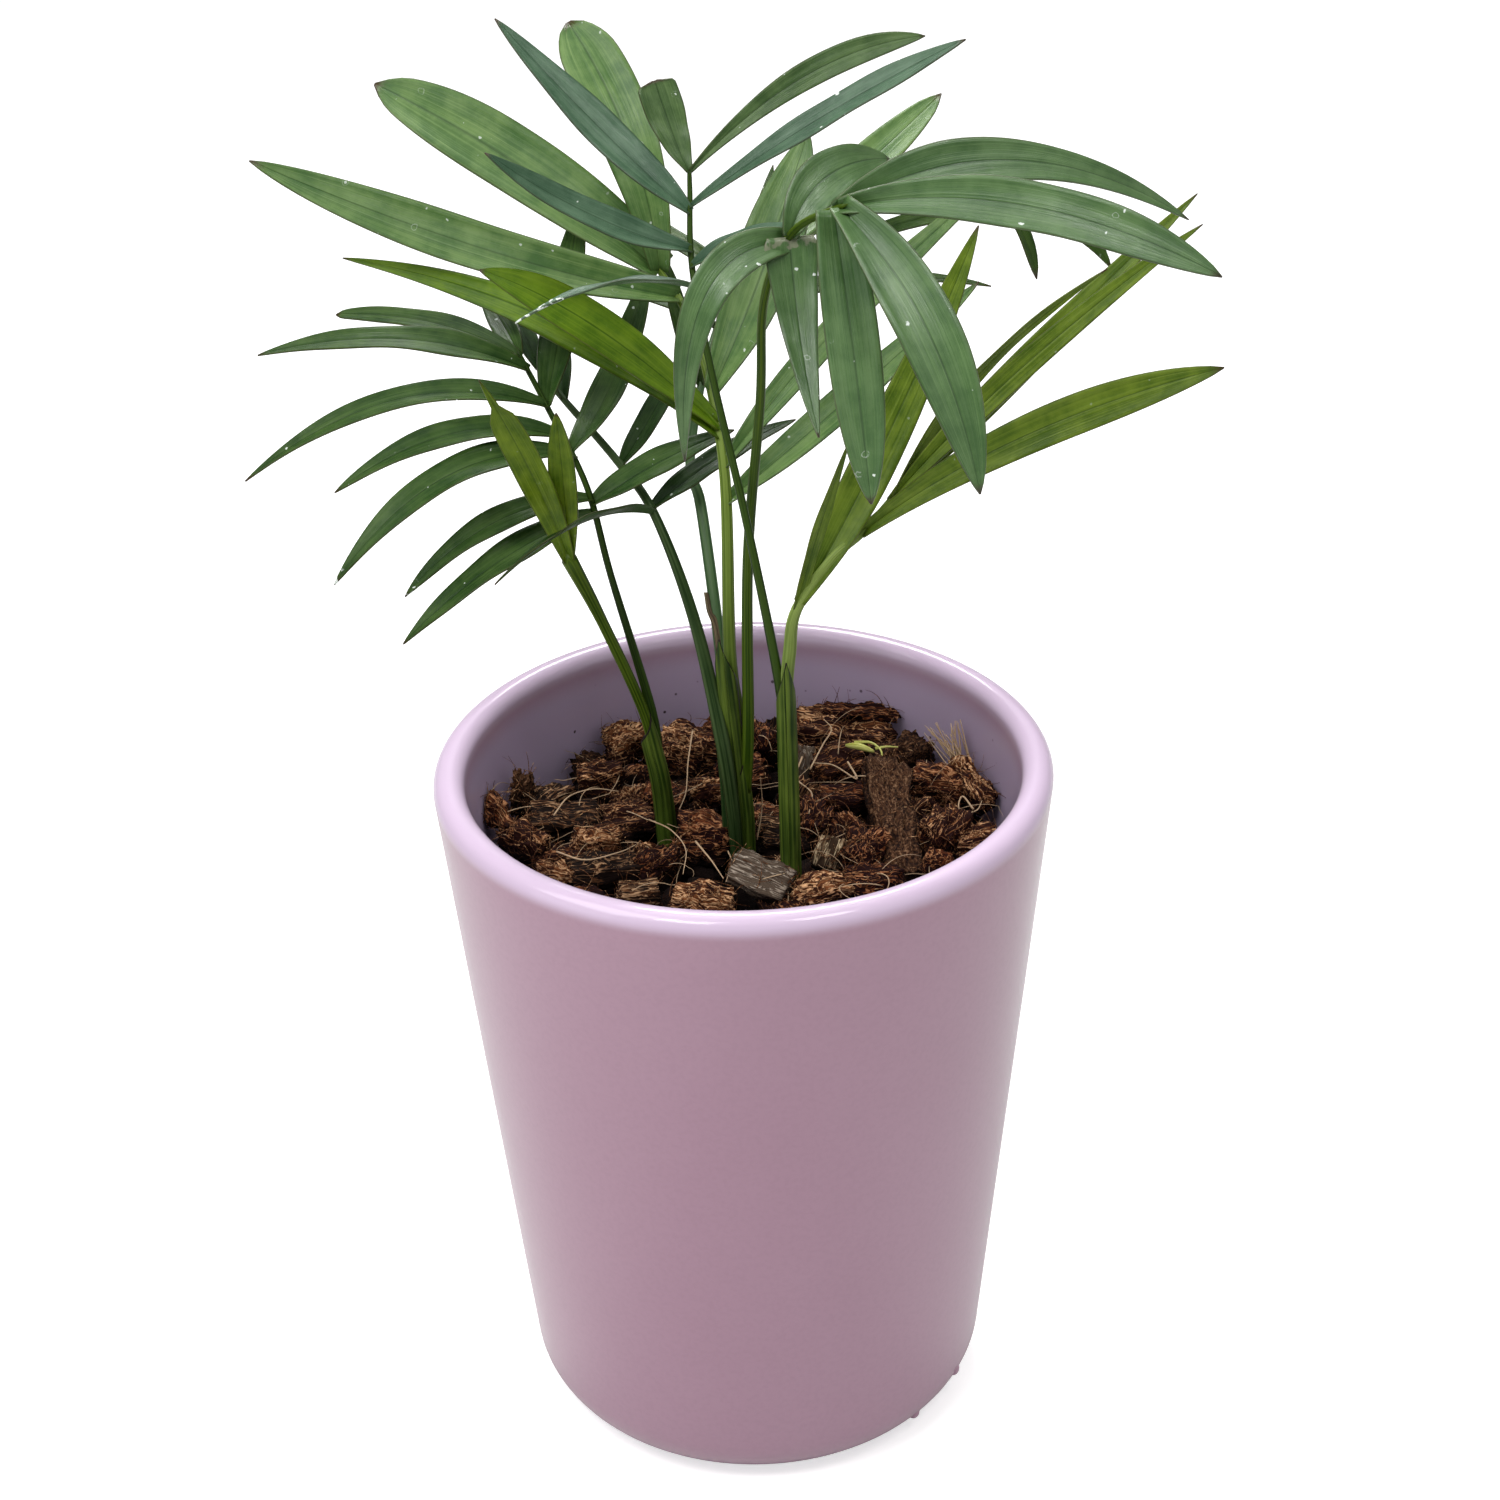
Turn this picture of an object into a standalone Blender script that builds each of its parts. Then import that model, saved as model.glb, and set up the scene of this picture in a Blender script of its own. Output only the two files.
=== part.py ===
"""Parlour palm in a tapered mauve pot, as separate named solids.

Metres, +Z up. The middle of the pot's underside is the origin, and the plant is
looked at from -Y: +X is to the right and +Y to the back. Sizes below are in
millimetres and become metres where a solid is made.
"""

import math
import random

import bmesh
import bpy
from mathutils import Matrix, Vector

MM = 0.001
GAP = 0.3          # clearance between neighbours that touch on the real plant
MERGE = 0.0005     # points closer than this become one
SMOOTH_ANGLE = 40.0    # edges sharper than this stay crisp

# Pot
POT_HEIGHT = 150.0
RIM_RADIUS = 62.2
BASE_RADIUS = 47.8     # where the straight wall would meet the ground
FOOT_ROUNDING = 12.9
WALL = 6.3
FLOOR = 8.0
INNER_ROUNDING = 10.0
POT_STEPS = 56         # faces round the pot
INNER_STEPS = 4        # faces across each rounded stretch of the pot's profile
LIP_STEPS = 8
FOOT_STEPS = 6
POT_COLOUR = (0.420, 0.290, 0.370)
POT_ROUGHNESS = 0.30

# Husk chips that fill the pot
FILL_TOP = 127.0
CHIP_COUNT = 64
CHIP_LENGTH = (8.0, 13.0)
CHIP_WIDTH = (5.0, 8.0)
CHIP_THICKNESS = (5.0, 7.0)
CHIP_HEIGHT = (127.6, 129.4)   # of a chip's middle
CHIP_TILT = 28.0
CHIP_MARGIN = 6.0              # from the pot's wall to the outermost chip's middle
CHIP_LEAST = 0.72              # how far a corner may be drawn in, as a share of the chip
CHIP_SEED = 7
GOLDEN_ANGLE = math.pi * (3.0 - math.sqrt(5.0))
HUSK_COLOUR = (0.105, 0.045, 0.022)
HUSK_ROUGHNESS = 0.90

# Stems: foot and top of the leaf sheaths, with the radius at each
STEM_FOOT = FILL_TOP + 2 * GAP
STEMS = {
    "stem_left": ((-16, 7, STEM_FOOT), (-18, 7, 156), 2.3, 2.1),
    "stem_middle": ((-1, -4, STEM_FOOT), (-1, -4, 158), 3.0, 3.5),
    "stem_right": ((9, -16, STEM_FOOT), (9, -16, 170), 2.3, 2.2),
}
SHEATH_COLOUR = (0.110, 0.200, 0.045)
SHEATH_ROUGHNESS = 0.50

# Leaflets
LEAF_THICKNESS = 0.9
LEAF_SEGMENTS = 7
LEAF_PEAK = 0.45       # where along its length a leaflet arches most
LEAF_FOLD = 0.12       # height of the edges above the midrib, per half width
LEAF_WIDEST = 0.38     # where along its length a leaflet is widest
ROOT_WIDTH = 0.26      # of a leaflet's full width
FINE_TIP = 0.09        # width of a pointed tip, as a share of the full width
TAPER_POWER = 0.85
LEAF_ROUGHNESS = 0.45
PATH_STEPS = 4         # pieces of a stalk between two of its named points
STALK_ROUNDNESS = 2    # bevel resolution of a stalk

# Each frond: the stem that it grows from, its foot on that stem's top, the stalk's
# named points from there to its tip, its radius at foot and tip, the way the leaflets'
# upper side looks, its colour, and its leaflets. A leaflet has its place along the
# stalk, its reach from root to tip (right, back, up), its arch, its width and its roll
# in degrees. A sixth value is the width of a blunt tip, as a share of the full width.
FRONDS = {
    "frond_low_left": dict(
        stem="stem_left",
        foot=(-17, 7),
        stalk=((-25, 8, 187), (-29, 11, 205), (-36, 17, 219), (-42, 22, 230)),
        radii=(0.95, 0.6),
        face=(-0.2, -0.5, 1.0),
        colour=(0.035, 0.105, 0.030),
        leaflets=(
            (44, (-37, -22, -16), 3.5, 7.0, 0),
            (46, (28, 12, 10), 1.5, 6.8, 0),
            (47, (-36, -16, -12), 5.5, 6.0, 0),
            (56, (-45, -27, -13), 9.5, 7.2, 0),
            (57, (16, 37, 26), -4.5, 7.2, 0),
            (60, (-43, -18, -2), 6.5, 6.4, 0),
            (67, (-57, -18, -6), 9.0, 6.4, 0),
            (67, (7, 38, 30), 0.5, 7.6, 0),
            (75, (-51, -6, 7), 5.0, 6.4, 0),
            (78, (-9, 23, 6), 0.5, 5.0, 0),
            (78, (-37, 15, 4), 3.0, 5.0, 0, 0.35),
        ),
    ),
    "frond_low_middle": dict(
        stem="stem_middle",
        foot=(-2.6, -5.4),
        stalk=((-9, 3, 180), (-16, 12, 198), (-23, 22, 205), (-34, 34, 214),
               (-40, 41, 219)),
        radii=(1.0, 0.6),
        face=(-0.1, -0.5, 1.0),
        colour=(0.028, 0.085, 0.026),
        leaflets=(
            (45, (-29, -36, 3), 5.0, 5.0, 55),
            (46, (29, 22, 9), 2.0, 5.6, 0),
            (58, (14, 24, 16), -0.5, 5.0, 0),
            (77, (-4, 30, 12), 1.5, 5.0, 0),
            (86, (-9, 19, 11), 1.5, 4.6, 0),
        ),
    ),
    "frond_back": dict(
        stem="stem_middle",
        foot=(-2.9, -2.6),
        stalk=((-4, 3, 174), (-7, 20, 196), (-9, 27, 201), (-7, 42, 210),
               (-3, 60, 218), (2, 78, 222)),
        radii=(1.1, 0.6),
        face=(0.0, -0.3, 1.0),
        colour=(0.045, 0.115, 0.040),
        leaflets=(
            (74, (-7, 17, 23), -0.5, 4.2, 0),
            (91, (57, 2, 7), 6.0, 5.2, 0),
            (91, (-46, 40, 3), 3.0, 5.6, 0),
            (102, (79, -4, 6), 20.0, 4.6, 40),
            (107, (64, 8, -3), 21.0, 5.4, 0),
            (107, (58, 22, 12), 10.5, 4.6, 55),
            (108, (-40, 42, 8), 3.0, 5.6, 0),
            (108, (9, 49, 10), -3.5, 5.0, 0),
        ),
    ),
    "frond_light": dict(
        stem="stem_middle",
        foot=(-0.5, -2.2),
        stalk=((-2, -1, 174), (-2, 11, 206), (-5, 24, 223), (-9, 34, 232),
               (-15, 45, 238)),
        radii=(1.0, 0.7),
        face=(0.0, -0.7, 0.8),
        colour=(0.115, 0.250, 0.050),
        leaflets=(
            (45, (51, 27, 34), -0.5, 6.2, 0),
            (52, (57, 38, 45), 3.5, 5.8, 0),
            (58, (-73, 21, 31), 7.0, 7.0, 0),
            (67, (20, 35, 41), -2.5, 9.4, 0),
            (76, (-41, -15, 23), -1.5, 7.8, 0),
            (86, (54, 56, 25), -2.0, 7.4, 0),
            (89, (-80, -7, 32), -2.5, 9.8, 0),
            (97, (-55, 17, 34), 2.5, 14.5, 0, 0.2),
            (97, (-17, 27, 43), 6.5, 13.0, 0, 0.4),
        ),
    ),
    "frond_front": dict(
        stem="stem_middle",
        foot=(1.2, -4.6),
        stalk=((2, -3, 195), (5, -9, 230), (6, -20, 254), (11, -33, 271),
               (20, -48, 281)),
        radii=(1.0, 0.7),
        face=(0.1, -0.85, 0.5),
        colour=(0.060, 0.160, 0.055),
        leaflets=(
            (117, (-18, -13, -35), 12.0, 7.6, 0),
            (119, (4, -22, -28), -3.0, 8.4, 0),
            (119, (17, 14, 9), 5.0, 8.0, 0, 0.3),
            (136, (5, -22, -44), 1.0, 8.6, 0),
            (136, (62, 16, -9), 9.5, 7.6, 0),
            (138, (22, -24, -42), 6.0, 8.8, 0),
            (138, (63, -8, -11), 6.0, 7.6, 0),
        ),
    ),
    "frond_top": dict(
        stem="stem_right",
        foot=(7.9, -15.3),
        stalk=((2.2, -9, 204), (-4, 0, 233), (-7, 9, 250), (-7, 15, 263)),
        radii=(0.95, 0.6),
        face=(0.0, -0.6, 0.9),
        colour=(0.045, 0.120, 0.060),
        leaflets=(
            (81, (-33, -13, -1), 4.0, 4.6, 45),
            (85, (20, -9, 11), 1.5, 4.0, 0),
            (88, (-39, -8, 23), -2.0, 6.4, 0),
            (95, (-35, 13, 34), 0.8, 7.6, 0),
            (96, (51, -2, 31), 0.8, 5.6, 0),
            (97, (-6, 8, 19), -0.5, 7.0, 0, 0.6),
            (97, (44, 10, 25), 6.0, 5.4, 35),
        ),
    ),
    "frond_right": dict(
        stem="stem_right",
        foot=(10, -16.5),
        stalk=((10, -16, 181), (11, -15, 190), (18, -12, 199), (24, -9, 203),
               (31, -6, 210)),
        radii=(0.9, 0.7),
        face=(-0.2, -0.9, 0.4),
        colour=(0.130, 0.230, 0.045),
        leaflets=(
            (17, (11, 3, 35), 0.5, 3.0, 50),
            (21, (35, 25, 65), -2.0, 8.4, 0),
            (39, (65, -11, 36), 4.0, 6.8, 0),
            (47, (59, 23, 51), 0.5, 5.4, 0),
            (47, (57, 3, 52), 2.5, 4.8, 0),
            (47, (41, 11, 41), 4.8, 3.0, 50),
        ),
    ),
    "spear_left": dict(
        stem="stem_left",
        foot=(-19.2, 7),
        stalk=((-27, 4, 179), (-33.4, 1, 196)),
        radii=(0.95, 1.5),
        face=(0.0, -1.0, 0.3),
        colour=(0.170, 0.300, 0.050),
        leaflets=(
            (40, (-14, -11, 42), 1.0, 5.2, 0),
            (40, (0, -6, 34), 1.0, 4.6, 0),
        ),
    ),
}


def clear_scene():
    """Start from an empty scene, with metres as the unit."""
    for thing in list(bpy.data.objects):
        bpy.data.objects.remove(thing, do_unlink=True)
    bpy.context.scene.unit_settings.system = "METRIC"
    bpy.context.scene.unit_settings.scale_length = 1.0


def collection(name):
    """The scene's collection of this name, made where there is none yet."""
    found = bpy.data.collections.get(name)
    if found is None:
        found = bpy.data.collections.new(name)
        bpy.context.scene.collection.children.link(found)
    return found


def material(name, colour, roughness, metallic=0.0):
    """A plain Principled BSDF material."""
    made = bpy.data.materials.new(name)
    made.use_nodes = True
    shader = made.node_tree.nodes["Principled BSDF"]
    shader.inputs["Base Color"].default_value = (*colour, 1.0)
    shader.inputs["Roughness"].default_value = roughness
    shader.inputs["Metallic"].default_value = metallic
    return made


def add_object(name, data, shade=None):
    """Link an object with this mesh or curve to the palm's collection."""
    thing = bpy.data.objects.new(name, data)
    collection("parlour_palm").objects.link(thing)
    if shade is not None:
        thing.data.materials.append(shade)
    return thing


def mesh_object(name, bm, shade=None):
    """Turn a bmesh into an object and free the bmesh."""
    mesh = bpy.data.meshes.new(name)
    bm.to_mesh(mesh)
    bm.free()
    return add_object(name, mesh, shade)


def baked(thing):
    """Replace the object's data with its evaluated mesh, its modifiers applied."""
    graph = bpy.context.evaluated_depsgraph_get()
    mesh = bpy.data.meshes.new_from_object(thing.evaluated_get(graph))
    name = thing.name
    shades = list(thing.data.materials)
    bpy.data.objects.remove(thing, do_unlink=True)
    bm = bmesh.new()
    bm.from_mesh(mesh)
    bmesh.ops.remove_doubles(bm, verts=bm.verts, dist=MERGE * MM)
    bmesh.ops.recalc_face_normals(bm, faces=bm.faces)
    bm.to_mesh(mesh)
    bm.free()
    mesh.materials.clear()
    for shade in shades:
        mesh.materials.append(shade)
    mesh.shade_smooth()
    mesh.set_sharp_from_angle(angle=math.radians(SMOOTH_ANGLE))
    mesh.name = name
    return add_object(name, mesh)


def arc(centre, radius, start, end, steps):
    """Points of an arc in the XZ plane, angles in degrees from +X towards +Z."""
    points = []
    for i in range(steps + 1):
        angle = math.radians(start + (end - start) * i / steps)
        points.append((centre[0] + radius * math.cos(angle), centre[1] + radius * math.sin(angle)))
    return points


def turned(name, profile, shade):
    """A solid of revolution: the profile goes round the Z axis with a Screw modifier."""
    bm = bmesh.new()
    verts = [bm.verts.new((x * MM, 0.0, z * MM)) for x, z in profile]
    for low, high in zip(verts[:-1], verts[1:]):
        bm.edges.new((low, high))
    thing = mesh_object(name, bm, shade)
    screw = thing.modifiers.new("turn", "SCREW")
    screw.axis = "Z"
    screw.angle = math.tau
    screw.steps = POT_STEPS
    screw.render_steps = POT_STEPS
    screw.use_merge_vertices = True
    screw.merge_threshold = MERGE * MM
    return baked(thing)


def wall_slope():
    """How much the pot's wall leans out, per unit of height."""
    return (RIM_RADIUS - BASE_RADIUS) / POT_HEIGHT


def outer_radius(z):
    return BASE_RADIUS + wall_slope() * z


def inner_radius(z):
    return outer_radius(z) - WALL


def make_pot():
    """The pot: flat floor, rounded foot, straight leaning wall and rounded lip."""
    lean = math.degrees(math.atan(wall_slope()))
    lip = WALL / 2.0
    foot_x = outer_radius(FOOT_ROUNDING) - FOOT_ROUNDING / math.cos(math.radians(lean))
    inside_z = FLOOR + INNER_ROUNDING
    inside_x = inner_radius(inside_z) - INNER_ROUNDING
    profile = [(0.0, FLOOR)]
    profile += arc((inside_x, inside_z), INNER_ROUNDING, -90.0, -lean, INNER_STEPS)
    profile += arc((RIM_RADIUS - lip, POT_HEIGHT - lip), lip, 180.0 - lean, -lean, LIP_STEPS)
    profile += arc((foot_x, FOOT_ROUNDING), FOOT_ROUNDING, -lean, -90.0, FOOT_STEPS)
    profile.append((0.0, 0.0))
    return turned("pot", profile, material("mauve_glaze", POT_COLOUR, POT_ROUGHNESS))


def make_chip(rng, place, height):
    """One husk chip: a block with uneven corners, turned and tipped."""
    bm = bmesh.new()
    bmesh.ops.create_cube(bm, size=1.0)
    size = Vector((rng.uniform(*CHIP_LENGTH), rng.uniform(*CHIP_WIDTH), rng.uniform(*CHIP_THICKNESS)))
    for corner in bm.verts:
        uneven = Vector([rng.uniform(CHIP_LEAST, 1.0) for _ in range(3)])
        corner.co = corner.co * uneven * size
    tip = math.radians(CHIP_TILT)
    turn = Matrix.Rotation(rng.uniform(0.0, math.tau), 3, "Z")
    turn = turn @ Matrix.Rotation(rng.uniform(-tip, tip), 3, "Y")
    turn = turn @ Matrix.Rotation(rng.uniform(-tip, tip), 3, "X")
    for corner in bm.verts:
        corner.co = (turn @ corner.co + Vector((*place, height))) * MM
    bmesh.ops.triangulate(bm, faces=bm.faces)
    return bm


def make_fill():
    """The potting mix: a plug that fills the pot, with husk chips on top."""
    bottom = FLOOR + GAP
    corner_z = FLOOR + INNER_ROUNDING
    profile = [(0.0, FILL_TOP), (inner_radius(FILL_TOP) - GAP, FILL_TOP)]
    profile.append((inner_radius(corner_z) - GAP, corner_z))
    profile.append((inner_radius(corner_z) - INNER_ROUNDING, bottom))
    profile.append((0.0, bottom))
    fill = turned("husk_fill", profile, material("husk", HUSK_COLOUR, HUSK_ROUGHNESS))
    triangulate(fill)
    rng = random.Random(CHIP_SEED)
    chips = []
    for i in range(CHIP_COUNT):
        radius = (inner_radius(FILL_TOP) - CHIP_MARGIN) * math.sqrt((i + 0.5) / CHIP_COUNT)
        angle = i * GOLDEN_ANGLE
        place = (radius * math.cos(angle), radius * math.sin(angle))
        bm = make_chip(rng, place, rng.uniform(*CHIP_HEIGHT))
        if chip_is_clear(bm):
            chips.append(mesh_object("chip", bm))
        else:
            bm.free()
    return joined(fill, chips)


def chip_is_clear(bm):
    """True where a chip keeps off the pot's wall and the stems."""
    middle = sum((v.co for v in bm.verts), Vector()) / len(bm.verts) / MM
    reach = max((v.co / MM - middle).xy.length for v in bm.verts)
    for corner in bm.verts:
        point = corner.co / MM
        if point.xy.length > inner_radius(point.z) - GAP:
            return False
    for foot, top, foot_radius, top_radius in STEMS.values():
        if (middle.xy - Vector(foot).xy).length < reach + max(foot_radius, top_radius) + GAP:
            return False
    return True


def triangulate(thing):
    bm = bmesh.new()
    bm.from_mesh(thing.data)
    bmesh.ops.triangulate(bm, faces=bm.faces)
    bm.to_mesh(thing.data)
    bm.free()


def joined(body, others):
    """One solid from a body and what grows out of it, by a Boolean union."""
    group = collection(body.name + "_pieces")
    for other in others:
        collection("parlour_palm").objects.unlink(other)
        group.objects.link(other)
    union = body.modifiers.new("union", "BOOLEAN")
    union.operation = "UNION"
    union.operand_type = "COLLECTION"
    union.collection = group
    union.solver = "EXACT"
    union.use_self = False
    made = baked(body)
    for other in list(group.objects):
        bpy.data.objects.remove(other, do_unlink=True)
    bpy.data.collections.remove(group)
    return made


def smooth_path(points, steps):
    """Points of a smooth curve through the named points, in millimetres."""
    named = [Vector(p) for p in points]
    ends = [named[0] * 2 - named[1]] + named + [named[-1] * 2 - named[-2]]
    path = []
    for a, b, c, d in zip(ends, ends[1:], ends[2:], ends[3:]):
        for i in range(steps):
            t = i / steps
            bend = (2 * a - 5 * b + 4 * c - d) * t * t + (3 * b - a - 3 * c + d) * t ** 3
            path.append((2 * b + (c - a) * t + bend) / 2)
    path.append(named[-1])
    return path


def point_along(path, distance):
    """The point that lies this far along the path."""
    for start, end in zip(path, path[1:]):
        step = (end - start).length
        if distance <= step:
            return start.lerp(end, distance / step)
        distance -= step
    return path[-1].copy()


def tube(name, path, radius_foot, radius_tip, shade):
    """A tapered round stalk along a path."""
    curve = bpy.data.curves.new(name, "CURVE")
    curve.dimensions = "3D"
    curve.bevel_depth = MM
    curve.bevel_resolution = STALK_ROUNDNESS
    curve.use_fill_caps = True
    spline = curve.splines.new("POLY")
    spline.points.add(len(path) - 1)
    for i, place in enumerate(path):
        spline.points[i].co = (*(place * MM), 1.0)
        spline.points[i].radius = radius_foot + (radius_tip - radius_foot) * i / (len(path) - 1)
    made = baked(add_object(name, curve, shade))
    triangulate(made)
    return made


def leaf_width(t, tip_width):
    """Share of the full width at t from root to tip: a narrow foot and a taper."""
    if t < LEAF_WIDEST:
        return ROOT_WIDTH + (1.0 - ROOT_WIDTH) * math.sin(math.pi / 2 * t / LEAF_WIDEST)
    past = min(1.0, (t - LEAF_WIDEST) / (1.0 - LEAF_WIDEST))
    return tip_width + (1.0 - tip_width) * max(0.0, math.cos(math.pi / 2 * past)) ** TAPER_POWER


def make_leaflet(face, root, reach, arch, width, roll, tip_width=FINE_TIP):
    """A thin arched blade from its root on the stalk to its tip."""
    reach = Vector(reach)
    across = reach.cross(Vector((0, 0, 1))).normalized()
    lift = across.cross(reach).normalized()
    middle = root + reach * LEAF_PEAK + lift * (2 * arch)
    tip = root + reach
    bm = bmesh.new()
    bmesh.ops.create_grid(bm, x_segments=LEAF_SEGMENTS, y_segments=2, size=0.5)
    for vert in bm.verts:
        t = vert.co.x + 0.5
        side = vert.co.y * 2
        place = root * (1 - t) ** 2 + middle * (2 * t * (1 - t)) + tip * t * t
        along = ((middle - root) * (1 - t) + (tip - middle) * t).normalized()
        over = along.cross(Vector(face)).normalized()
        over.rotate(Matrix.Rotation(math.radians(roll), 3, along))
        half = leaf_width(t, tip_width) * width / 2
        fold = over.cross(along) * (LEAF_FOLD * half * abs(side))
        vert.co = (place + over * (side * half) + fold) * MM
    bmesh.ops.triangulate(bm, faces=bm.faces)
    leaf = mesh_object("leaflet", bm)
    solid = leaf.modifiers.new("thickness", "SOLIDIFY")
    solid.thickness = LEAF_THICKNESS * MM
    solid.offset = 0.0
    made = baked(leaf)
    triangulate(made)
    return made


def make_frond(name, stem, foot, stalk, radii, face, colour, leaflets):
    """A stalk with its leaflets fused on, as one blade cut to the rib."""
    stem_top = STEMS[stem][1][2]
    path = smooth_path(((*foot, stem_top + 2 * GAP), *stalk), PATH_STEPS)
    green = material(name + "_green", colour, LEAF_ROUGHNESS)
    rib = tube(name, path, *radii, green)
    blades = []
    for place, *shape in leaflets:
        blades.append(make_leaflet(face, point_along(path, place), *shape))
    return joined(rib, blades)


def make_stem(name, foot, top, foot_radius, top_radius):
    """A bundle of leaf sheaths as one tapered post."""
    path = smooth_path((foot, top), PATH_STEPS)
    green = material(name + "_sheath", SHEATH_COLOUR, SHEATH_ROUGHNESS)
    return tube(name, path, foot_radius, top_radius, green)


def main():
    clear_scene()
    pot = make_pot()
    fill = make_fill()
    fill.parent = pot
    stems = {}
    for name, sizes in STEMS.items():
        stems[name] = make_stem(name, *sizes)
        stems[name].parent = fill
    for name, sizes in FRONDS.items():
        make_frond(name, **sizes).parent = stems[sizes["stem"]]


main()
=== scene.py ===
"""The look of a potted parlour palm: glazed pot, husk chips, leaf sheaths and fronds.

Lengths in the tables are millimetres in the model's own frame: the middle of the pot's
underside is the origin, +Z is up, and the plant is looked at from -Y.
"""

import math
import random

import bmesh
import bpy
from mathutils import Euler, Matrix, Vector, noise


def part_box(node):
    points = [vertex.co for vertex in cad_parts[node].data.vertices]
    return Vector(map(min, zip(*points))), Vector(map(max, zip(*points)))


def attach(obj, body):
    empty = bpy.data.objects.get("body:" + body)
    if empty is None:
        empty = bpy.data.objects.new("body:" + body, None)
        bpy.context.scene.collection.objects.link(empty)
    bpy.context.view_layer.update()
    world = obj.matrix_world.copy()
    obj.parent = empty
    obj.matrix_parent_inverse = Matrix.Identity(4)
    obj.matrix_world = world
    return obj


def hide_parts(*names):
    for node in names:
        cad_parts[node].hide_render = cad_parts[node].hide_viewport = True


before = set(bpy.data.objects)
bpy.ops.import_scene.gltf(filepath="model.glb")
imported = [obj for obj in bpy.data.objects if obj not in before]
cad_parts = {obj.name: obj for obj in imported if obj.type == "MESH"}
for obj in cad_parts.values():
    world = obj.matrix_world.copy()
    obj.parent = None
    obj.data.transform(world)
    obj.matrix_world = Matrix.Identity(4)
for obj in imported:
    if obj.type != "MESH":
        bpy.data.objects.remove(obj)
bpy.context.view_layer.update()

MM = 0.001

# Camera, fitted to the pot's outline in a square picture
CAMERA_PLACE = (0.0, -525.22, 444.0)
CAMERA_TURN = (60.862, 1.302, -0.885)
CAMERA_LENS = 72.0
CAMERA_SENSOR = 36.0

# The room's soft light, and how much whiter the floor looks straight to the camera
ROOM_LIGHT = 0.28
FLOOR_LIFT = 0.6

# The pot's height and rim as its solid has them, and the rounding of its profile
POT_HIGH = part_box("pot")[1]
POT_HEIGHT = POT_HIGH[2] / MM
RIM_RADIUS = POT_HIGH[0] / MM
BASE_RADIUS = 47.8
FOOT_ROUNDING = 12.9
WALL = 6.3
FLOOR = 8.0
INNER_ROUNDING = 10.0
POT_STEPS = 192
POT_SWELL = 0.0012
# Turn in degrees from +X, height and size of the small beads where the glaze gathered
GLAZE_BEADS = ((-28.0, 9.0, 1.7), (-44.0, 5.5, 1.8))
BEAD_SHAPE = (0.8, 0.8, 1.1)
BEAD_SINK = 0.5

# Husk fill: its top, how far its pith lies below that, and the pith's gap to the pot
FILL_TOP = 127.0
PITH_DROP = 4.0
PITH_GAP = 0.4
PITH_STEPS = 128
# Painted shade: the pith is made darker under the chips
PITH_PAINTED_SHADE = -0.5
CHIP_SEED = 11
CHUNK_CUTS = 13
CHIP_CUTS = 7
CHIP_MARGIN = 5.0
CHIP_DEPTH = 8.0
GRAIN_STRETCH = Vector((0.24, 1.0, 1.0))
GOLDEN_ANGLE = math.pi * (3.0 - math.sqrt(5.0))
# The two layers of loose chips: how many, their lengths, their heights, where the
# spiral starts, how far they tip in degrees and how much painted shade darkens them
CHIP_LAYERS = (
    (70, (8.0, 12.0), (123.2, 125.0), 0.0, 16.0, -1.4),
    (64, (7.0, 11.0), (126.4, 128.4), 1.9, 38.0, -0.4),
)
LOOSE_KINDS = ("coir", "coir", "rust", "rust", "slab", "bark")
FIBRE_SEED = 23
FIBRE_MERGE = 0.0005
FUZZ_COUNT = 1900
THREAD_COUNT = 80
THREAD_STEPS = 12
THREAD_FRONT = Vector((0.1, 0.2, 1.0))

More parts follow.
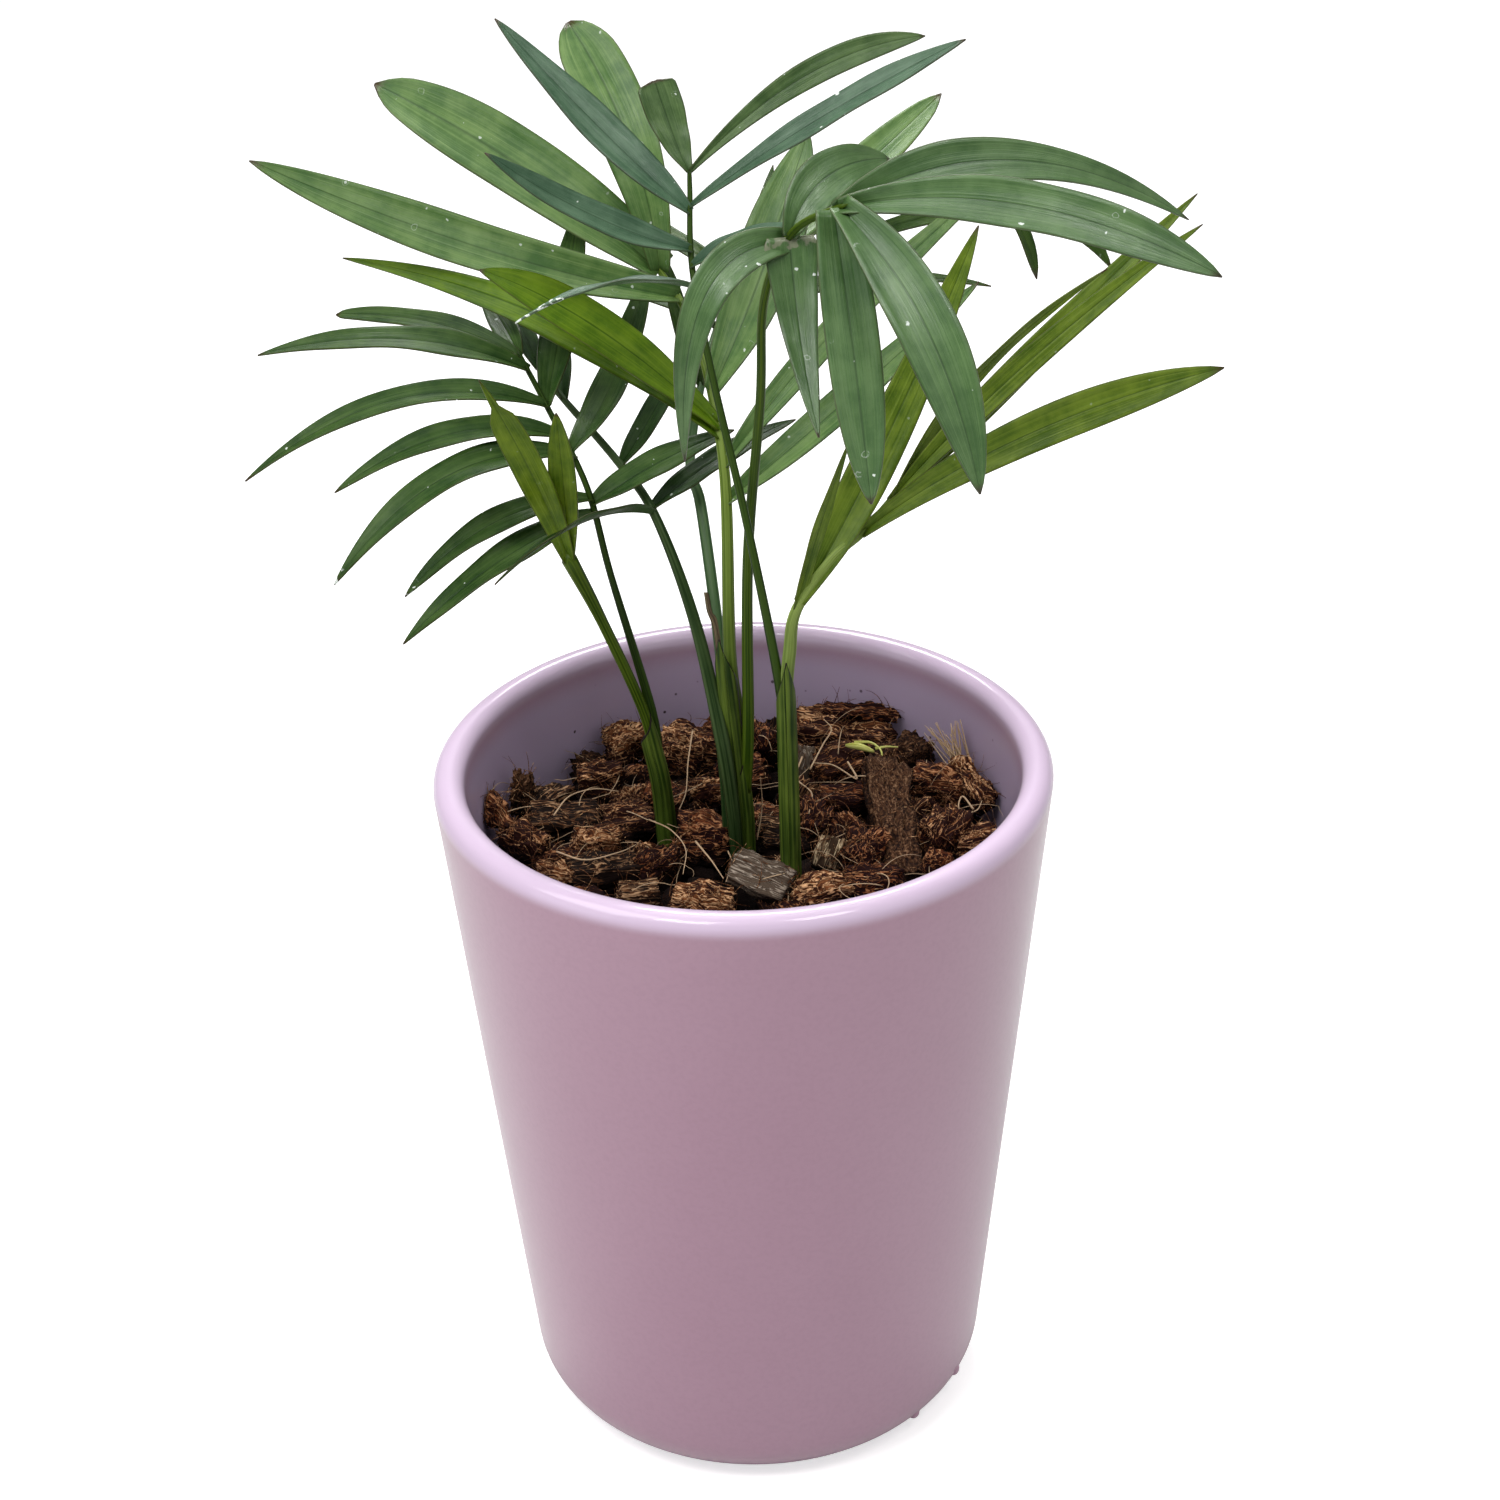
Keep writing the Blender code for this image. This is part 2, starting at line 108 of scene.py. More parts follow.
# The pieces of husk that stand out: middle point, length, width and height, then the
# turn about Z, the nose's lift and the bank in degrees, and the kind of husk
CHUNKS = (
    ((-24.8, 41.0, 130.5), (9, 8, 8), 30, 0, 0, "coir"),
    ((-12.6, 35.5, 130.5), (13, 10, 11), 20, -15, 10, "coir"),
    ((-5.0, 42.0, 130.0), (8, 7, 10), -40, 10, 0, "rust"),
    ((-30.2, 24.5, 131.0), (8, 7, 7), 10, 0, 0, "coir"),
    ((-37.5, 10.0, 130.0), (14, 9, 4.5), 4, 0, 14, "slab"),
    ((-41.5, 20.5, 129.0), (10, 7, 5), 50, 0, 0, "slab"),
    ((-46.3, 17.0, 133.0), (8, 4, 3), 75, 70, 0, "bark"),
    ((-51.0, 9.5, 132.5), (11, 5, 4), -50, -16, 0, "rust"),
    ((-45.0, 2.0, 130.5), (12, 5.5, 4.5), -42, -6, 0, "coir"),
    ((-37.5, -3.5, 129.5), (11, 6, 4), -20, 0, 0, "rust"),
    ((-29.9, -2.0, 130.5), (8, 7.5, 7.5), 20, 0, 0, "coir"),
    ((-38.0, -10.5, 129.5), (8.5, 6.5, 5.5), -20, 0, 0, "coir"),
    ((-28.5, -10.5, 129.5), (14, 7.5, 6), 15, 0, -10, "slab"),
    ((-21.5, -19.5, 129.5), (7.5, 6.5, 5.5), 10, 0, 0, "slab"),
    ((-8.6, -23.0, 129.5), (12, 8.5, 6.5), -10, 0, 0, "coir"),
    ((-8.6, 1.0, 130.5), (10.5, 9, 8.8), -12, 0, 0, "rust"),
    ((-18.0, -8.0, 129.5), (10.5, 7, 7), 58, 0, 0, "rust"),
    ((-7.3, 17.5, 131.0), (5.5, 5, 6), 0, 0, 0, "coir"),
    ((-24.0, 12.0, 129.0), (11, 9, 5), 0, 0, 0, "coir"),
    ((-16.5, 19.5, 129.5), (9, 8, 5), 70, 0, 0, "rust"),
    ((2.8, -18.2, 132.4), (12.5, 8.0, 4.0), -24, -6, 12, "wood"),
    ((3.2, 38.5, 131.0), (8, 8, 12), 80, 30, 0, "rust"),
    ((0.5, 27.0, 130.0), (9, 8, 8), 20, 0, 0, "rust"),
    ((21.0, 40.5, 131.0), (20, 11, 9), -4, 0, 8, "coir"),
    ((25.5, 43.0, 136.0), (16, 5, 2.2), -8, -4, 10, "rust"),
    ((12.8, 29.0, 131.0), (8, 4, 4), 80, 50, 0, "wood"),
    ((20.0, 29.0, 130.5), (11, 9, 6), 25, 0, 0, "coir"),
    ((20.5, 14.5, 131.0), (11, 8, 5.5), 5, 0, -8, "rust"),
    ((30.2, 3.0, 131.8), (35, 9, 6), 93, 8, 0, "bark"),
    ((33.5, 31.0, 130.5), (11, 8, 8), 20, 0, 0, "bark"),
    ((41.0, 18.5, 130.5), (12, 9, 8.5), -20, 0, 0, "rust"),
    ((47.6, 16.0, 132.5), (12, 5, 6), -62, -30, 0, "coir"),
    ((39.8, -1.5, 131.0), (10, 8, 9), 68, 0, 0, "coir"),
    ((46.4, -3.5, 130.0), (9, 8, 6), 20, 0, 0, "coir"),
    ((24.0, -6.5, 130.5), (10, 8, 7.5), 62, 0, 0, "rust"),
    ((16.8, -7.0, 130.8), (7, 5.5, 1.8), 65, 25, 0, "slat"),
    ((15.5, -20.5, 129.5), (12, 9, 7), 20, 0, 0, "coir"),
    ((24.5, -18.0, 129.5), (11, 9, 7), -6, 0, 0, "rust"),
    ((14.6, 8.5, 129.5), (12, 6.5, 7), 82, 0, 0, "rust"),
    ((4.4, 10.0, 128.5), (6, 6, 6), 10, 0, 0, "rust"),
)
# How round each kind of chip is, how deep its ridges are, how far they wander, and its tone
CHIP_KINDS = {
    "coir": (0.42, 0.75, 2.5, "coir_tan"),
    "rust": (0.46, 0.8, 2.5, "coir_rust"),
    "slab": (0.20, 0.55, 0.5, "husk_slab"),
    "bark": (0.36, 1.25, 5.0, "bark_chunk"),
    "wood": (0.10, 0.35, 0.3, "grey_flake"),
    "slat": (0.06, 0.3, 0.1, "pale_slat"),
}

# Long pale threads that lie over the chips
THREADS = (
    ((-39, 5, 134.5), (-36, 11, 135.4), (-31, 14.5, 135.0), (-26, 15, 134.0)),
    ((-38, -7, 133.0), (-32, -12, 133.9), (-25, -9, 133.8), (-22, -5, 133.0)),
    ((-19.5, 3, 134.0), (-15, -3, 135.0), (-12, -9, 134.0), (-12.5, -17, 133.0)),
    ((-10.5, 31, 139.0), (-11.5, 22, 136.5), (-12, 14, 134.0), (-13.5, 7, 133.5)),
    ((-10, -7, 134.5), (-7, -13, 133.8), (-4.5, -20, 133.6)),
    ((-3.5, -10, 133.8), (-2.8, -15, 134.2), (-4.0, -21, 133.4)),
    ((14, 22, 134.0), (17, 29, 136.0), (19, 34, 136.8), (17.5, 38, 137.2)),
    ((12.5, 26, 134.8), (11, 18, 134.4), (14, 12, 134.0), (13.2, 5, 133.2)),
    ((22, 24, 134.4), (23.5, 16, 134.8), (19, 22, 134.8), (15, 24, 134.4)),
    ((47, 6, 132.6), (45, 9, 134.0), (44, 6, 133.0), (46, 3, 132.6)),
    ((44, 4, 132.5), (47.5, 4.5, 133.2), (49, 9, 132.8)),
    ((2.4, -2, 131.5), (3.6, 0, 138.0), (3.4, 1, 144.5)),
)

# The small sprout among the chips: its bent body and its pale forks
SPROUT = ((21.8, 28.0, 136.2), (24.5, 25.5, 137.2), (27.6, 24.2, 136.6))
FORKS = (
    ((23.6, 27.4, 137.2), (27.0, 25.6, 138.0), (29.0, 22.8, 137.4), (28.6, 19.5, 136.4)),
    ((27.8, 24.0, 137.4), (30.2, 24.4, 137.6), (32.6, 24.8, 137.2)),
)

# A fan of straight stiff fibres at the wall: their middle foot and tip
FAN_COUNT = 26
FAN_FOOT = (46.5, 21.5, 132.0)
FAN_TIP = (42.0, 27.0, 141.0)

# Leaf blades
BLADE_THICKNESS = 0.32
SHEATH_THICKNESS = 0.3
SHEET_MERGE = 0.0001
BLADE_ALONG = 36
BLADE_ACROSS = 12
# How a blade is formed unless its row says otherwise: where its arch peaks, its widest
# place, the width's share at root and tip, how full its shoulders are, where a blunt
# tip starts to round off, where a drawn-out tail starts and the share left there, how
# far the root cups round the stalk, the fold, the edge's wave, the twist in degrees, a
# torn root, where white flecks start, and which of its frond's greens it has
BLADE_FORM = dict(
    peak=0.45, widest=0.38, root=0.26, tip=0.02, full=2.1, blunt=0.94, tail=None, cup=0.9,
    fold=0.16, wave=0.28, twist=0.0, scar=0.0, flecks=None, tone=0,
)
SHOULDER = 0.85
# How far a half blade bellies down for its width, and its side vein's ridge and its
# midrib's groove in millimetres
BLADE_BELLY = 0.10
SIDE_RIDGE = 0.06
MIDRIB_GROOVE = 0.20
# How far a stalk starts over its stem's top, and how far it reaches down into it
STALK_RISE = 0.6
STALK_DEPTH = 14.0
STALK_ROUND = 12
STALK_STEPS = 8

# Each stem's foot and top, and its radius at the foot
STEMS = {
    "stem_left": ((-16, 7, 127), (-18, 7, 156), 2.3),
    "stem_middle": ((-1, -4, 127), (-1, -4, 158), 3.0),
    "stem_right": ((9, -16, 127), (9, -16, 170), 2.3),
}

# Sheaths on each stem, from the outside in: the middle line's points, the radius at
# its ends, the way its pointed tip faces in degrees (0 is the front, 90 the left), how
# far the tip rises over the low side of the mouth, and its shade
SHEATHS = {
    "stem_left": (
        (((-15.7, 7, 122), (-16.9, 7, 140), (-18.6, 7, 150)), 2.1, 1.85, -75, 7.0, 0),
    ),
    "stem_middle": (
        (((0.2, -3.6, 122), (0.1, -3.7, 137), (-0.3, -3.8, 144)), 1.75, 1.7, -60, 9.5, 0),
        (((-0.6, -3.4, 122), (-1.2, -3.6, 146), (-2.6, -3.4, 166)), 1.5, 1.95, 25, 13.0, 0),
        (((-2.6, -1.6, 122), (-3.0, -1.4, 142), (-3.6, -1.2, 152)), 1.7, 1.5, 100, 3.0, 1),
        (((-0.6, -1.8, 122), (-1.6, -2.2, 150), (-2.4, -2.4, 163)), 1.7, 1.9, 180, 4.0, 0),
    ),
    "stem_right": (
        (((9.0, -15.9, 122), (8.8, -15.9, 147), (8.6, -15.9, 167)), 1.95, 1.8, -12, 13.0, 0),
    ),
}

# The dry margin that curls off a sheath: its middle line, from its free end down
DRY_MARGIN = (
    (-6.7, -0.9, 187.3),
    (-6.2, -1.4, 183.4),
    (-5.1, -2.0, 179.9),
    (-4.6, -2.8, 174.0),
    (-4.6, -3.6, 167.0),
)
DRY_MARGIN_THICKNESS = 0.2

# Each frond: its stem, the stalk's foot on the stem's top, the points that the stalk
# has inside the stem where they are not worked out, its points from the foot to its
# tip, its radius at each of all these points, the way the blades' upper side looks,
# and its blades. A blade has its place along the stalk, its reach from root to tip
# (right, back, up), its arch, its width and its roll in degrees, then what is special
# about it.
FRONDS = {
    "low_left": dict(
        stem="stem_left",
        foot=(-18.1, 7.4),
        clasp=((-17.2, 7.3, 142),),
        stalk=((-25, 8, 187), (-29, 11, 205), (-36, 17, 219), (-42, 22, 230)),
        radii=(1.0, 1.0, 0.72, 0.65, 0.6, 0.5),
        face=(-0.2, -0.5, 1.0),
        blades=(
            (44, (-37, -22, -16), 3.5, 7.2, 0, dict(full=1.8)),
            (46, (28, 12, 10), 1.5, 6.8, 0, {}),
            (47, (-36, -16, -12), 5.5, 6.2, 0, dict(flecks=0.93)),
            (56, (-45, -27, -13), 9.5, 7.4, 0, dict(full=1.9, flecks=0.95)),
            (57, (16, 37, 26), -4.5, 7.2, 0, {}),
            (60, (-43, -18, -2), 6.5, 6.4, 0, {}),
            (67, (-57, -18, -6), 9.0, 6.4, 0, dict(full=1.7)),
            (67, (7, 38, 30), 0.5, 7.6, 0, {}),
            (75, (-51, -6, 7), 5.0, 6.4, 0, {}),
            (78, (-9, 23, 6), 0.5, 5.0, 0, {}),
            (78, (-37, 15, 4), 3.0, 5.0, 0, dict(tip=0.35)),
        ),
    ),
    "low_middle": dict(
        stem="stem_middle",
        foot=(-4.3, -5.2),
        clasp=((-1.3, -5.6, 122), (-2.3, -5.6, 141)),
        stalk=((-9, 3, 180), (-16, 12, 198), (-23, 22, 205), (-34, 34, 214), (-40, 41, 219)),
        radii=(1.25, 1.45, 1.5, 1.2, 0.95, 0.85, 0.7, 0.55),
        face=(-0.1, -0.5, 1.0),
        blades=(
            (45, (-29, -36, 3), 5.0, 5.2, 46, {}),
            (46, (29, 22, 9), 2.0, 5.6, 0, {}),
            (58, (14, 24, 16), -0.5, 5.0, 0, {}),
            (77, (-4, 30, 12), 1.5, 5.0, 0, {}),
            (86, (-9, 19, 11), 1.5, 4.6, 0, {}),
        ),
    ),
    "back": dict(
        stem="stem_middle",
        foot=(-2.9, -2.6),
        stalk=(
            (-4, 3, 174), (-7, 20, 196), (-9, 27, 201),
            (-7, 42, 210), (-3, 60, 218), (2, 78, 222),
        ),
        radii=(1.2, 1.2, 1.2, 1.15, 1.0, 0.85, 0.7, 0.55),
        face=(0.0, -0.3, 1.0),
        blades=(
            (74, (-7, 17, 23), -0.5, 4.2, 0, {}),
            (91, (57, 2, 7), 6.0, 5.2, 0, {}),
            (91, (-46, 40, 3), 3.0, 5.6, 0, {}),
            (102, (79.5, -4, 6), 15.4, 4.8, 30, dict(peak=0.83, widest=0.7)),
            (107, (64.5, 8, -3), 21.7, 6.2, 0, dict(peak=0.83, widest=0.78)),
            (107, (58, 22, 12), 10.5, 4.6, 55, {}),
            (108, (-40, 42, 8), 3.0, 5.6, 0, {}),
            (108, (9, 49, 10), -3.5, 5.0, 0, {}),
        ),
    ),
    "light": dict(
        stem="stem_middle",
        foot=(-0.5, -2.2),
        stalk=((-2, -1, 174), (-2, 11, 206), (-5, 24, 223), (-9, 34, 232), (-15, 45, 238)),
        radii=(1.2, 1.3, 1.3, 1.1, 0.9, 0.8, 0.65),
        face=(0.0, -0.7, 0.8),
        blades=(
            (45, (51, 27, 34), -0.5, 6.8, 0, dict(full=2.4)),
            (52, (57, 38, 45), 3.5, 5.8, 0, {}),
            (58, (-73, 21, 31), 7.0, 7.8, 0, dict(tone=1, full=1.15, widest=0.45, twist=-20.0)),
            (67, (20.5, 35, 41), -2.2, 12.4, 0, dict(peak=0.44, full=2.2, widest=0.56)),
            (60, (-44, -4.5, 35), 3.1, 8.8, 0, dict(peak=0.63, tone=1, full=2.2, widest=0.5)),
            (86, (54.5, 56, 25), -1.9, 8.6, 0, dict(full=3.2, widest=0.60, tip=0.12)),
            (89, (-80.5, -7, 32.5), -2.6, 10.2, 0, dict(full=2.8, widest=0.44, root=0.40)),
            (
                97, (-55.5, 17, 34.5), 2.5, 14.6, 0,
                dict(full=3.4, widest=0.52, root=0.42, tip=0.22, blunt=0.92),
            ),
            (97, (-17, 27, 43), 6.5, 12.2, 0, dict(tip=0.72, widest=0.70, root=0.30, blunt=0.84)),
        ),
    ),
    "front": dict(
        stem="stem_middle",
        foot=(1.2, -4.6),
        stalk=((2, -3, 195), (5, -9, 230), (6, -20, 254), (11, -33, 271), (20, -48, 281)),
        radii=(1.2, 1.2, 1.05, 0.9, 0.8, 0.7, 0.6),
        face=(0.1, -0.85, 0.5),
        blades=(
            (
                117, (-18.5, -13, -35), 11.3, 7.2, 0,
                dict(peak=0.22, full=1.7, widest=0.30, root=0.6, cup=0.4),
            ),
            (
                119, (4, -22, -28), -3.0, 9.3, 0,
                dict(full=1.15, widest=0.06, root=0.86, cup=0.1, scar=1.0),
            ),
            (119, (18, 15, 8.5), 5.1, 8.6, 0, dict(peak=0.4, full=2.0, widest=0.45)),
            (136, (5, -22, -44), 1.0, 9.0, 0, dict(full=3.2, widest=0.40, root=0.72, cup=0.3)),
            (136, (62, 16, -9), 9.5, 8.2, 0, dict(full=1.25, widest=0.32)),
            (138, (22, -24, -42), 6.0, 10.6, 0, dict(full=2.4, widest=0.44, root=0.36)),
            (138, (63, -8, -11), 6.0, 8.5, 0, dict(full=3.0, widest=0.50, root=0.30)),
        ),
    ),
    "top": dict(
        stem="stem_right",
        foot=(7.9, -15.3),
        stalk=((2.2, -9, 204), (-4, 0, 233), (-7, 9, 250), (-7, 15, 263), (-7, 16.3, 266.5)),
        radii=(1.0, 1.05, 0.8, 0.7, 0.6, 0.5, 0.4),
        face=(0.0, -0.6, 0.9),
        blades=(
            (81, (-33, -13, -1), 4.0, 4.6, 45, dict(flecks=0.72)),
            (85, (20, -9, 11), 1.5, 4.0, 0, {}),
            (88, (-36.5, -8, 22.5), -1.9, 6.4, 0, dict(full=2.0, widest=0.42)),
            (95, (-35, 13, 34), -0.7, 7.8, 0, dict(peak=0.4, full=2.0, widest=0.42, root=0.2)),
            (96, (51, -2, 31), 1.6, 5.6, 0, dict(peak=0.48, widest=0.60, root=0.14)),
            (
                102.5, (-6, 7, 15.5), -0.5, 7.6, 0,
                dict(peak=0.41, tip=0.9, widest=0.84, root=0.14, blunt=0.95, tone=1),
            ),
            (102.5, (44.5, 9, 22), 4.9, 5.2, 30, dict(peak=0.58, widest=0.62, root=0.12, tone=1)),
        ),
    ),
    "right": dict(
        stem="stem_right",
        foot=(8.7, -15.2),
        clasp=((8.8, -15.4, 152),),
        stalk=((9.5, -15.0, 181), (11, -15, 190), (18, -12, 199), (24, -9, 203), (31, -6, 210)),
        radii=(1.2, 1.25, 1.3, 1.1, 0.95, 0.8, 0.7),
        face=(-0.2, -0.9, 0.4),
        blades=(
            (17, (11, 3, 35), 0.5, 3.0, 50, {}),
            (21, (35, 25, 65), -2.0, 8.4, 0, {}),
            (39, (65, -11, 36), 4.0, 7.4, 0, dict(full=2.4, widest=0.62)),
            (47, (59, 23, 51), 0.5, 5.4, 0, {}),
            (47, (57, 3, 52), 2.5, 4.8, 0, {}),
            (47, (41, 11, 41), 4.8, 3.0, 50, {}),
        ),
    ),
    "spear": dict(
        stem="stem_left",
        foot=(-19.6, 6.8),
        clasp=((-17.6, 6.9, 143),),
        stalk=((-27, 4, 179), (-33.4, 1, 196)),
        radii=(1.1, 1.1, 1.15, 1.7),
        face=(0.0, -1.0, 0.3),
        blades=(
            (
                40, (-14, -11, 42), 1.0, 6.0, 0,
                dict(full=3.2, widest=0.50, root=0.34, tail=(0.80, 0.36)),
            ),
            (40, (-0.5, -6, 33), 1.0, 5.2, 0, dict(full=2.6, widest=0.50, root=0.36)),
        ),
    ),
}

# Greens of the blades' upper side: in shade, lit and along the veins, then how many
# water marks they show and how they shine
LEAF_GREENS = {
    "dark_green": ((0.014, 0.044, 0.006), (0.050, 0.100, 0.020), (0.095, 0.150, 0.045), 0.9, 0.16),
    "deep_green": ((0.007, 0.026, 0.004), (0.026, 0.064, 0.011), (0.050, 0.100, 0.024), 0.6, 0.16),
    "shaded_green": ((0.014, 0.040, 0.004), (0.042, 0.086, 0.012), (0.080, 0.130, 0.026), 0.5, 0.16),
    "fresh_green": ((0.044, 0.112, 0.022), (0.125, 0.215, 0.060), (0.210, 0.310, 0.110), 0.6, 0.3),
    "vivid_green": ((0.050, 0.115, 0.002), (0.130, 0.225, 0.008), (0.210, 0.310, 0.030), 0.2, 0.22),
    "bright_green": ((0.039, 0.101, 0.023), (0.096, 0.184, 0.058), (0.152, 0.250, 0.098), 1.0, 0.65),
    "blue_green": ((0.030, 0.078, 0.038), (0.078, 0.148, 0.084), (0.125, 0.205, 0.130), 1.0, 0.36),
    "olive_tip": ((0.036, 0.078, 0.020), (0.094, 0.160, 0.052), (0.150, 0.225, 0.090), 0.7, 0.3),
    "olive_green": ((0.050, 0.098, 0.004), (0.145, 0.215, 0.018), (0.230, 0.305, 0.058), 0.2, 0.2),
    "young_green": ((0.048, 0.100, 0.001), (0.150, 0.225, 0.010), (0.260, 0.350, 0.050), 0.1, 0.2),
}
UNDERSIDE_GREEN = (0.10, 0.17, 0.065)
UNDERSIDE_SHARE = 0.45
# Greens of stalks and sheaths: in shade and lit, how many ribs, and how much darker
# the foot is
STALK_GREENS = {
    "dark_stalk": ((0.010, 0.026, 0.002), (0.035, 0.070, 0.007), 2.5, 0.75),
    "deep_stalk": ((0.012, 0.032, 0.006), (0.060, 0.100, 0.032), 2.5, 0.75),
    "bluish_stalk": ((0.035, 0.085, 0.030), (0.120, 0.200, 0.085), 2.5, 0.75),
    "pale_stalk": ((0.070, 0.120, 0.012), (0.170, 0.240, 0.042), 2.5, 0.75),
    "olive_stalk": ((0.020, 0.050, 0.001), (0.075, 0.125, 0.008), 2.5, 0.75),
    "top_stalk": ((0.010, 0.028, 0.003), (0.036, 0.070, 0.008), 2.5, 0.75),
    "young_stalk": ((0.110, 0.170, 0.025), (0.240, 0.320, 0.080), 2.5, 0.75),
    "spear_stalk": ((0.018, 0.044, 0.001), (0.090, 0.145, 0.010), 2.5, 0.75),
    "sheath_green": ((0.013, 0.036, 0.003), (0.110, 0.165, 0.022), 9.0, 0.75),
    "sheath_dark": ((0.010, 0.035, 0.008), (0.030, 0.075, 0.020), 5.0, 0.75),
    "dry_edge": ((0.030, 0.016, 0.010), (0.210, 0.165, 0.090), 4.0, 0.75),
    "sprout_green": ((0.260, 0.270, 0.030), (0.620, 0.620, 0.200), 2.0, 0.0),
}
# Each frond's slot, the greens of its blades and the green of its stalk
FROND_GREENS = {
    "low_left": ("dark_green", ("dark_green",), "dark_stalk"),
    "low_middle": ("dark_green", ("deep_green",), "deep_stalk"),
    "back": ("mid_green", ("shaded_green",), "bluish_stalk"),
    "light": ("light_green", ("fresh_green", "vivid_green"), "pale_stalk"),
    "front": ("blue_green", ("bright_green",), "olive_stalk"),
    "top": ("blue_green", ("blue_green", "olive_tip"), "top_stalk"),
    "right": ("light_green", ("olive_green",), "young_stalk"),
    "spear": ("young_green", ("young_green",), "spear_stalk"),
}
# Small marks on the leaves; the crease's tint is painted shade along the midrib
CREASE_SHADE_TINT = (0.40, 0.48, 0.40, 1)
FOOT_DARKENING_TINT = (0.34, 0.42, 0.34, 1)
EDGE_BROWN = (0.045, 0.034, 0.010, 1)
TIP_BROWN = (0.045, 0.026, 0.010, 1)
SCUFFED = (0.26, 0.26, 0.18, 1)
WATER_MARK = (0.70, 0.76, 0.70, 1)
STALK_FLECK = (0.60, 0.66, 0.55, 1)
DRY_BLACK = (0.012, 0.008, 0.006, 1)

# Husk: its dark, rust and tan, how far its fibres curl and how gritty it is
HUSK_TONES = {
    "coir_tan": ((0.014, 0.002, 0.001), (0.180, 0.062, 0.020), (0.60, 0.34, 0.175), 3.2, 0.0),
    "coir_rust": ((0.010, 0.001, 0.001), (0.135, 0.036, 0.010), (0.42, 0.195, 0.090), 3.2, 0.0),
    "husk_slab": ((0.006, 0.002, 0.001), (0.085, 0.032, 0.012), (0.42, 0.250, 0.135), 1.0, 0.0),
    "bark_chunk": ((0.008, 0.002, 0.001), (0.060, 0.024, 0.010), (0.22, 0.120, 0.065), 4.0, 0.6),
    "grey_flake": ((0.075, 0.052, 0.036), (0.200, 0.155, 0.118), (0.42, 0.345, 0.275), 0.6, 0.0),
    "pale_slat": ((0.030, 0.016, 0.008), (0.190, 0.125, 0.070), (0.56, 0.43, 0.27), 0.3, 0.0),
    # The pith: dark husk, made nearly black as painted shade under the chips
    "pith_and_painted_shade": ((0.004, 0.002, 0.001), (0.020, 0.009, 0.005), (0.09, 0.045, 0.022), 4.0, 0.5),
    "brown_fibre": ((0.07, 0.024, 0.008), (0.21, 0.090, 0.036), (0.52, 0.32, 0.17), 5.0, 0.0),
    "pale_fibre": ((0.42, 0.29, 0.18), (0.58, 0.43, 0.29), (0.78, 0.64, 0.47), 5.0, 0.0),
}
# Painted shade: the near black that the husk goes to low down, between and under the chips
HUSK_PAINTED_SHADE = (0.004, 0.001, 0.0006, 1)
# Heights between which the husk comes out of its painted shade, and between which the stalks' darker
# foot fades out
HUSK_SHADE_LEVELS = (126.6, 132.6)
HUSK_SHADE_SHARE = 0.94
FOOT_DARKENING_LEVELS = (130.0, 152.0)

# Glaze: the paler clouds, the darker grain and the specks in it
GLAZE_CLOUD = (0.56, 0.38, 0.48, 1)
GLAZE_GRAIN = (0.27, 0.15, 0.21, 1)
GLAZE_SPECK = (0.05, 0.03, 0.04, 1)
# Heights between which the specks and the inside's painted reflection fade, and the lip's thinner
# glaze and painted highlight begin
SPECK_LEVELS = (134.0, 148.0)
INSIDE_LEVELS = (POT_HEIGHT - 9.0, POT_HEIGHT - 1.0)
LIP_LEVELS = (POT_HEIGHT - 4.6, POT_HEIGHT - 1.6)

# Square soft lights: place, aim and size in metres, and watts
LIGHTS = {
    "key": ((-0.62, -0.25, 1.0), (0, 0, 0.15), 0.6, 5.2),
    "top": ((0.1, 0.35, 1.2), (0, 0, 0.15), 0.8, 3.5),
    "fill": ((0.9, -0.7, 0.7), (0, 0, 0.12), 0.8, 1.0),
    "left_wall": ((-0.80, -0.45, 0.30), (0, 0, 0.07), 0.5, 0.7),
    "back_glint": ((0.0, 0.66, 0.92), (0, 0, 0.15), 0.34, 6.0),
    "left_glint": ((-0.30, -0.55, 1.10), (0, 0, 0.15), 0.30, 3.4),
    "right_glint": ((0.36, -0.50, 1.10), (0, 0, 0.15), 0.30, 3.2),
}
FLOOR_HALF = 6.0
FLOOR_SHADE = (0.74, 0.74, 0.735, 1)


# Shader helpers


def node(tree, kind, inputs=None, **settings):
    """Add a shader node; an input given as another node's output is linked."""
    made = tree.nodes.new("ShaderNode" + kind)
    for name, value in settings.items():
        setattr(made, name, value)
    for name, value in (inputs or {}).items():
        if isinstance(value, bpy.types.NodeSocket):
            tree.links.new(value, made.inputs[name])
        else:
            made.inputs[name].default_value = value
    return made


def maths(tree, operation, first, second=0.0, third=0.0):
    """The output of a Math node."""
    return node(tree, "Math", {0: first, 1: second, 2: third}, operation=operation).outputs[0]


def times(tree, first, second):
    """One value times another."""
    return maths(tree, "MULTIPLY", first, second)


def weighted(tree, *parts):
    """The sum of some values, each times its share."""
    total = 0.0
    for value, share in parts:
        total = maths(tree, "MULTIPLY_ADD", value, share, total)
    return total


def offset_from(tree, value, middle):
    """How far a value lies from a middle, to either side."""
    return maths(tree, "ABSOLUTE", maths(tree, "SUBTRACT", value, middle))


def ramp(tree, value, low, high, start=0.0, end=1.0):
    """The value mapped smoothly from low and high to start and end."""
    inputs = {"Value": value, "From Min": low, "From Max": high, "To Min": start, "To Max": end}
    return node(tree, "MapRange", inputs, interpolation_type="SMOOTHSTEP").outputs[0]


def blend(tree, factor, first, second, mode="MIX"):
    """The colour of a Mix node."""
    inputs = {0: factor, 6: first, 7: second}
    return node(tree, "Mix", inputs, data_type="RGBA", blend_type=mode).outputs[2]


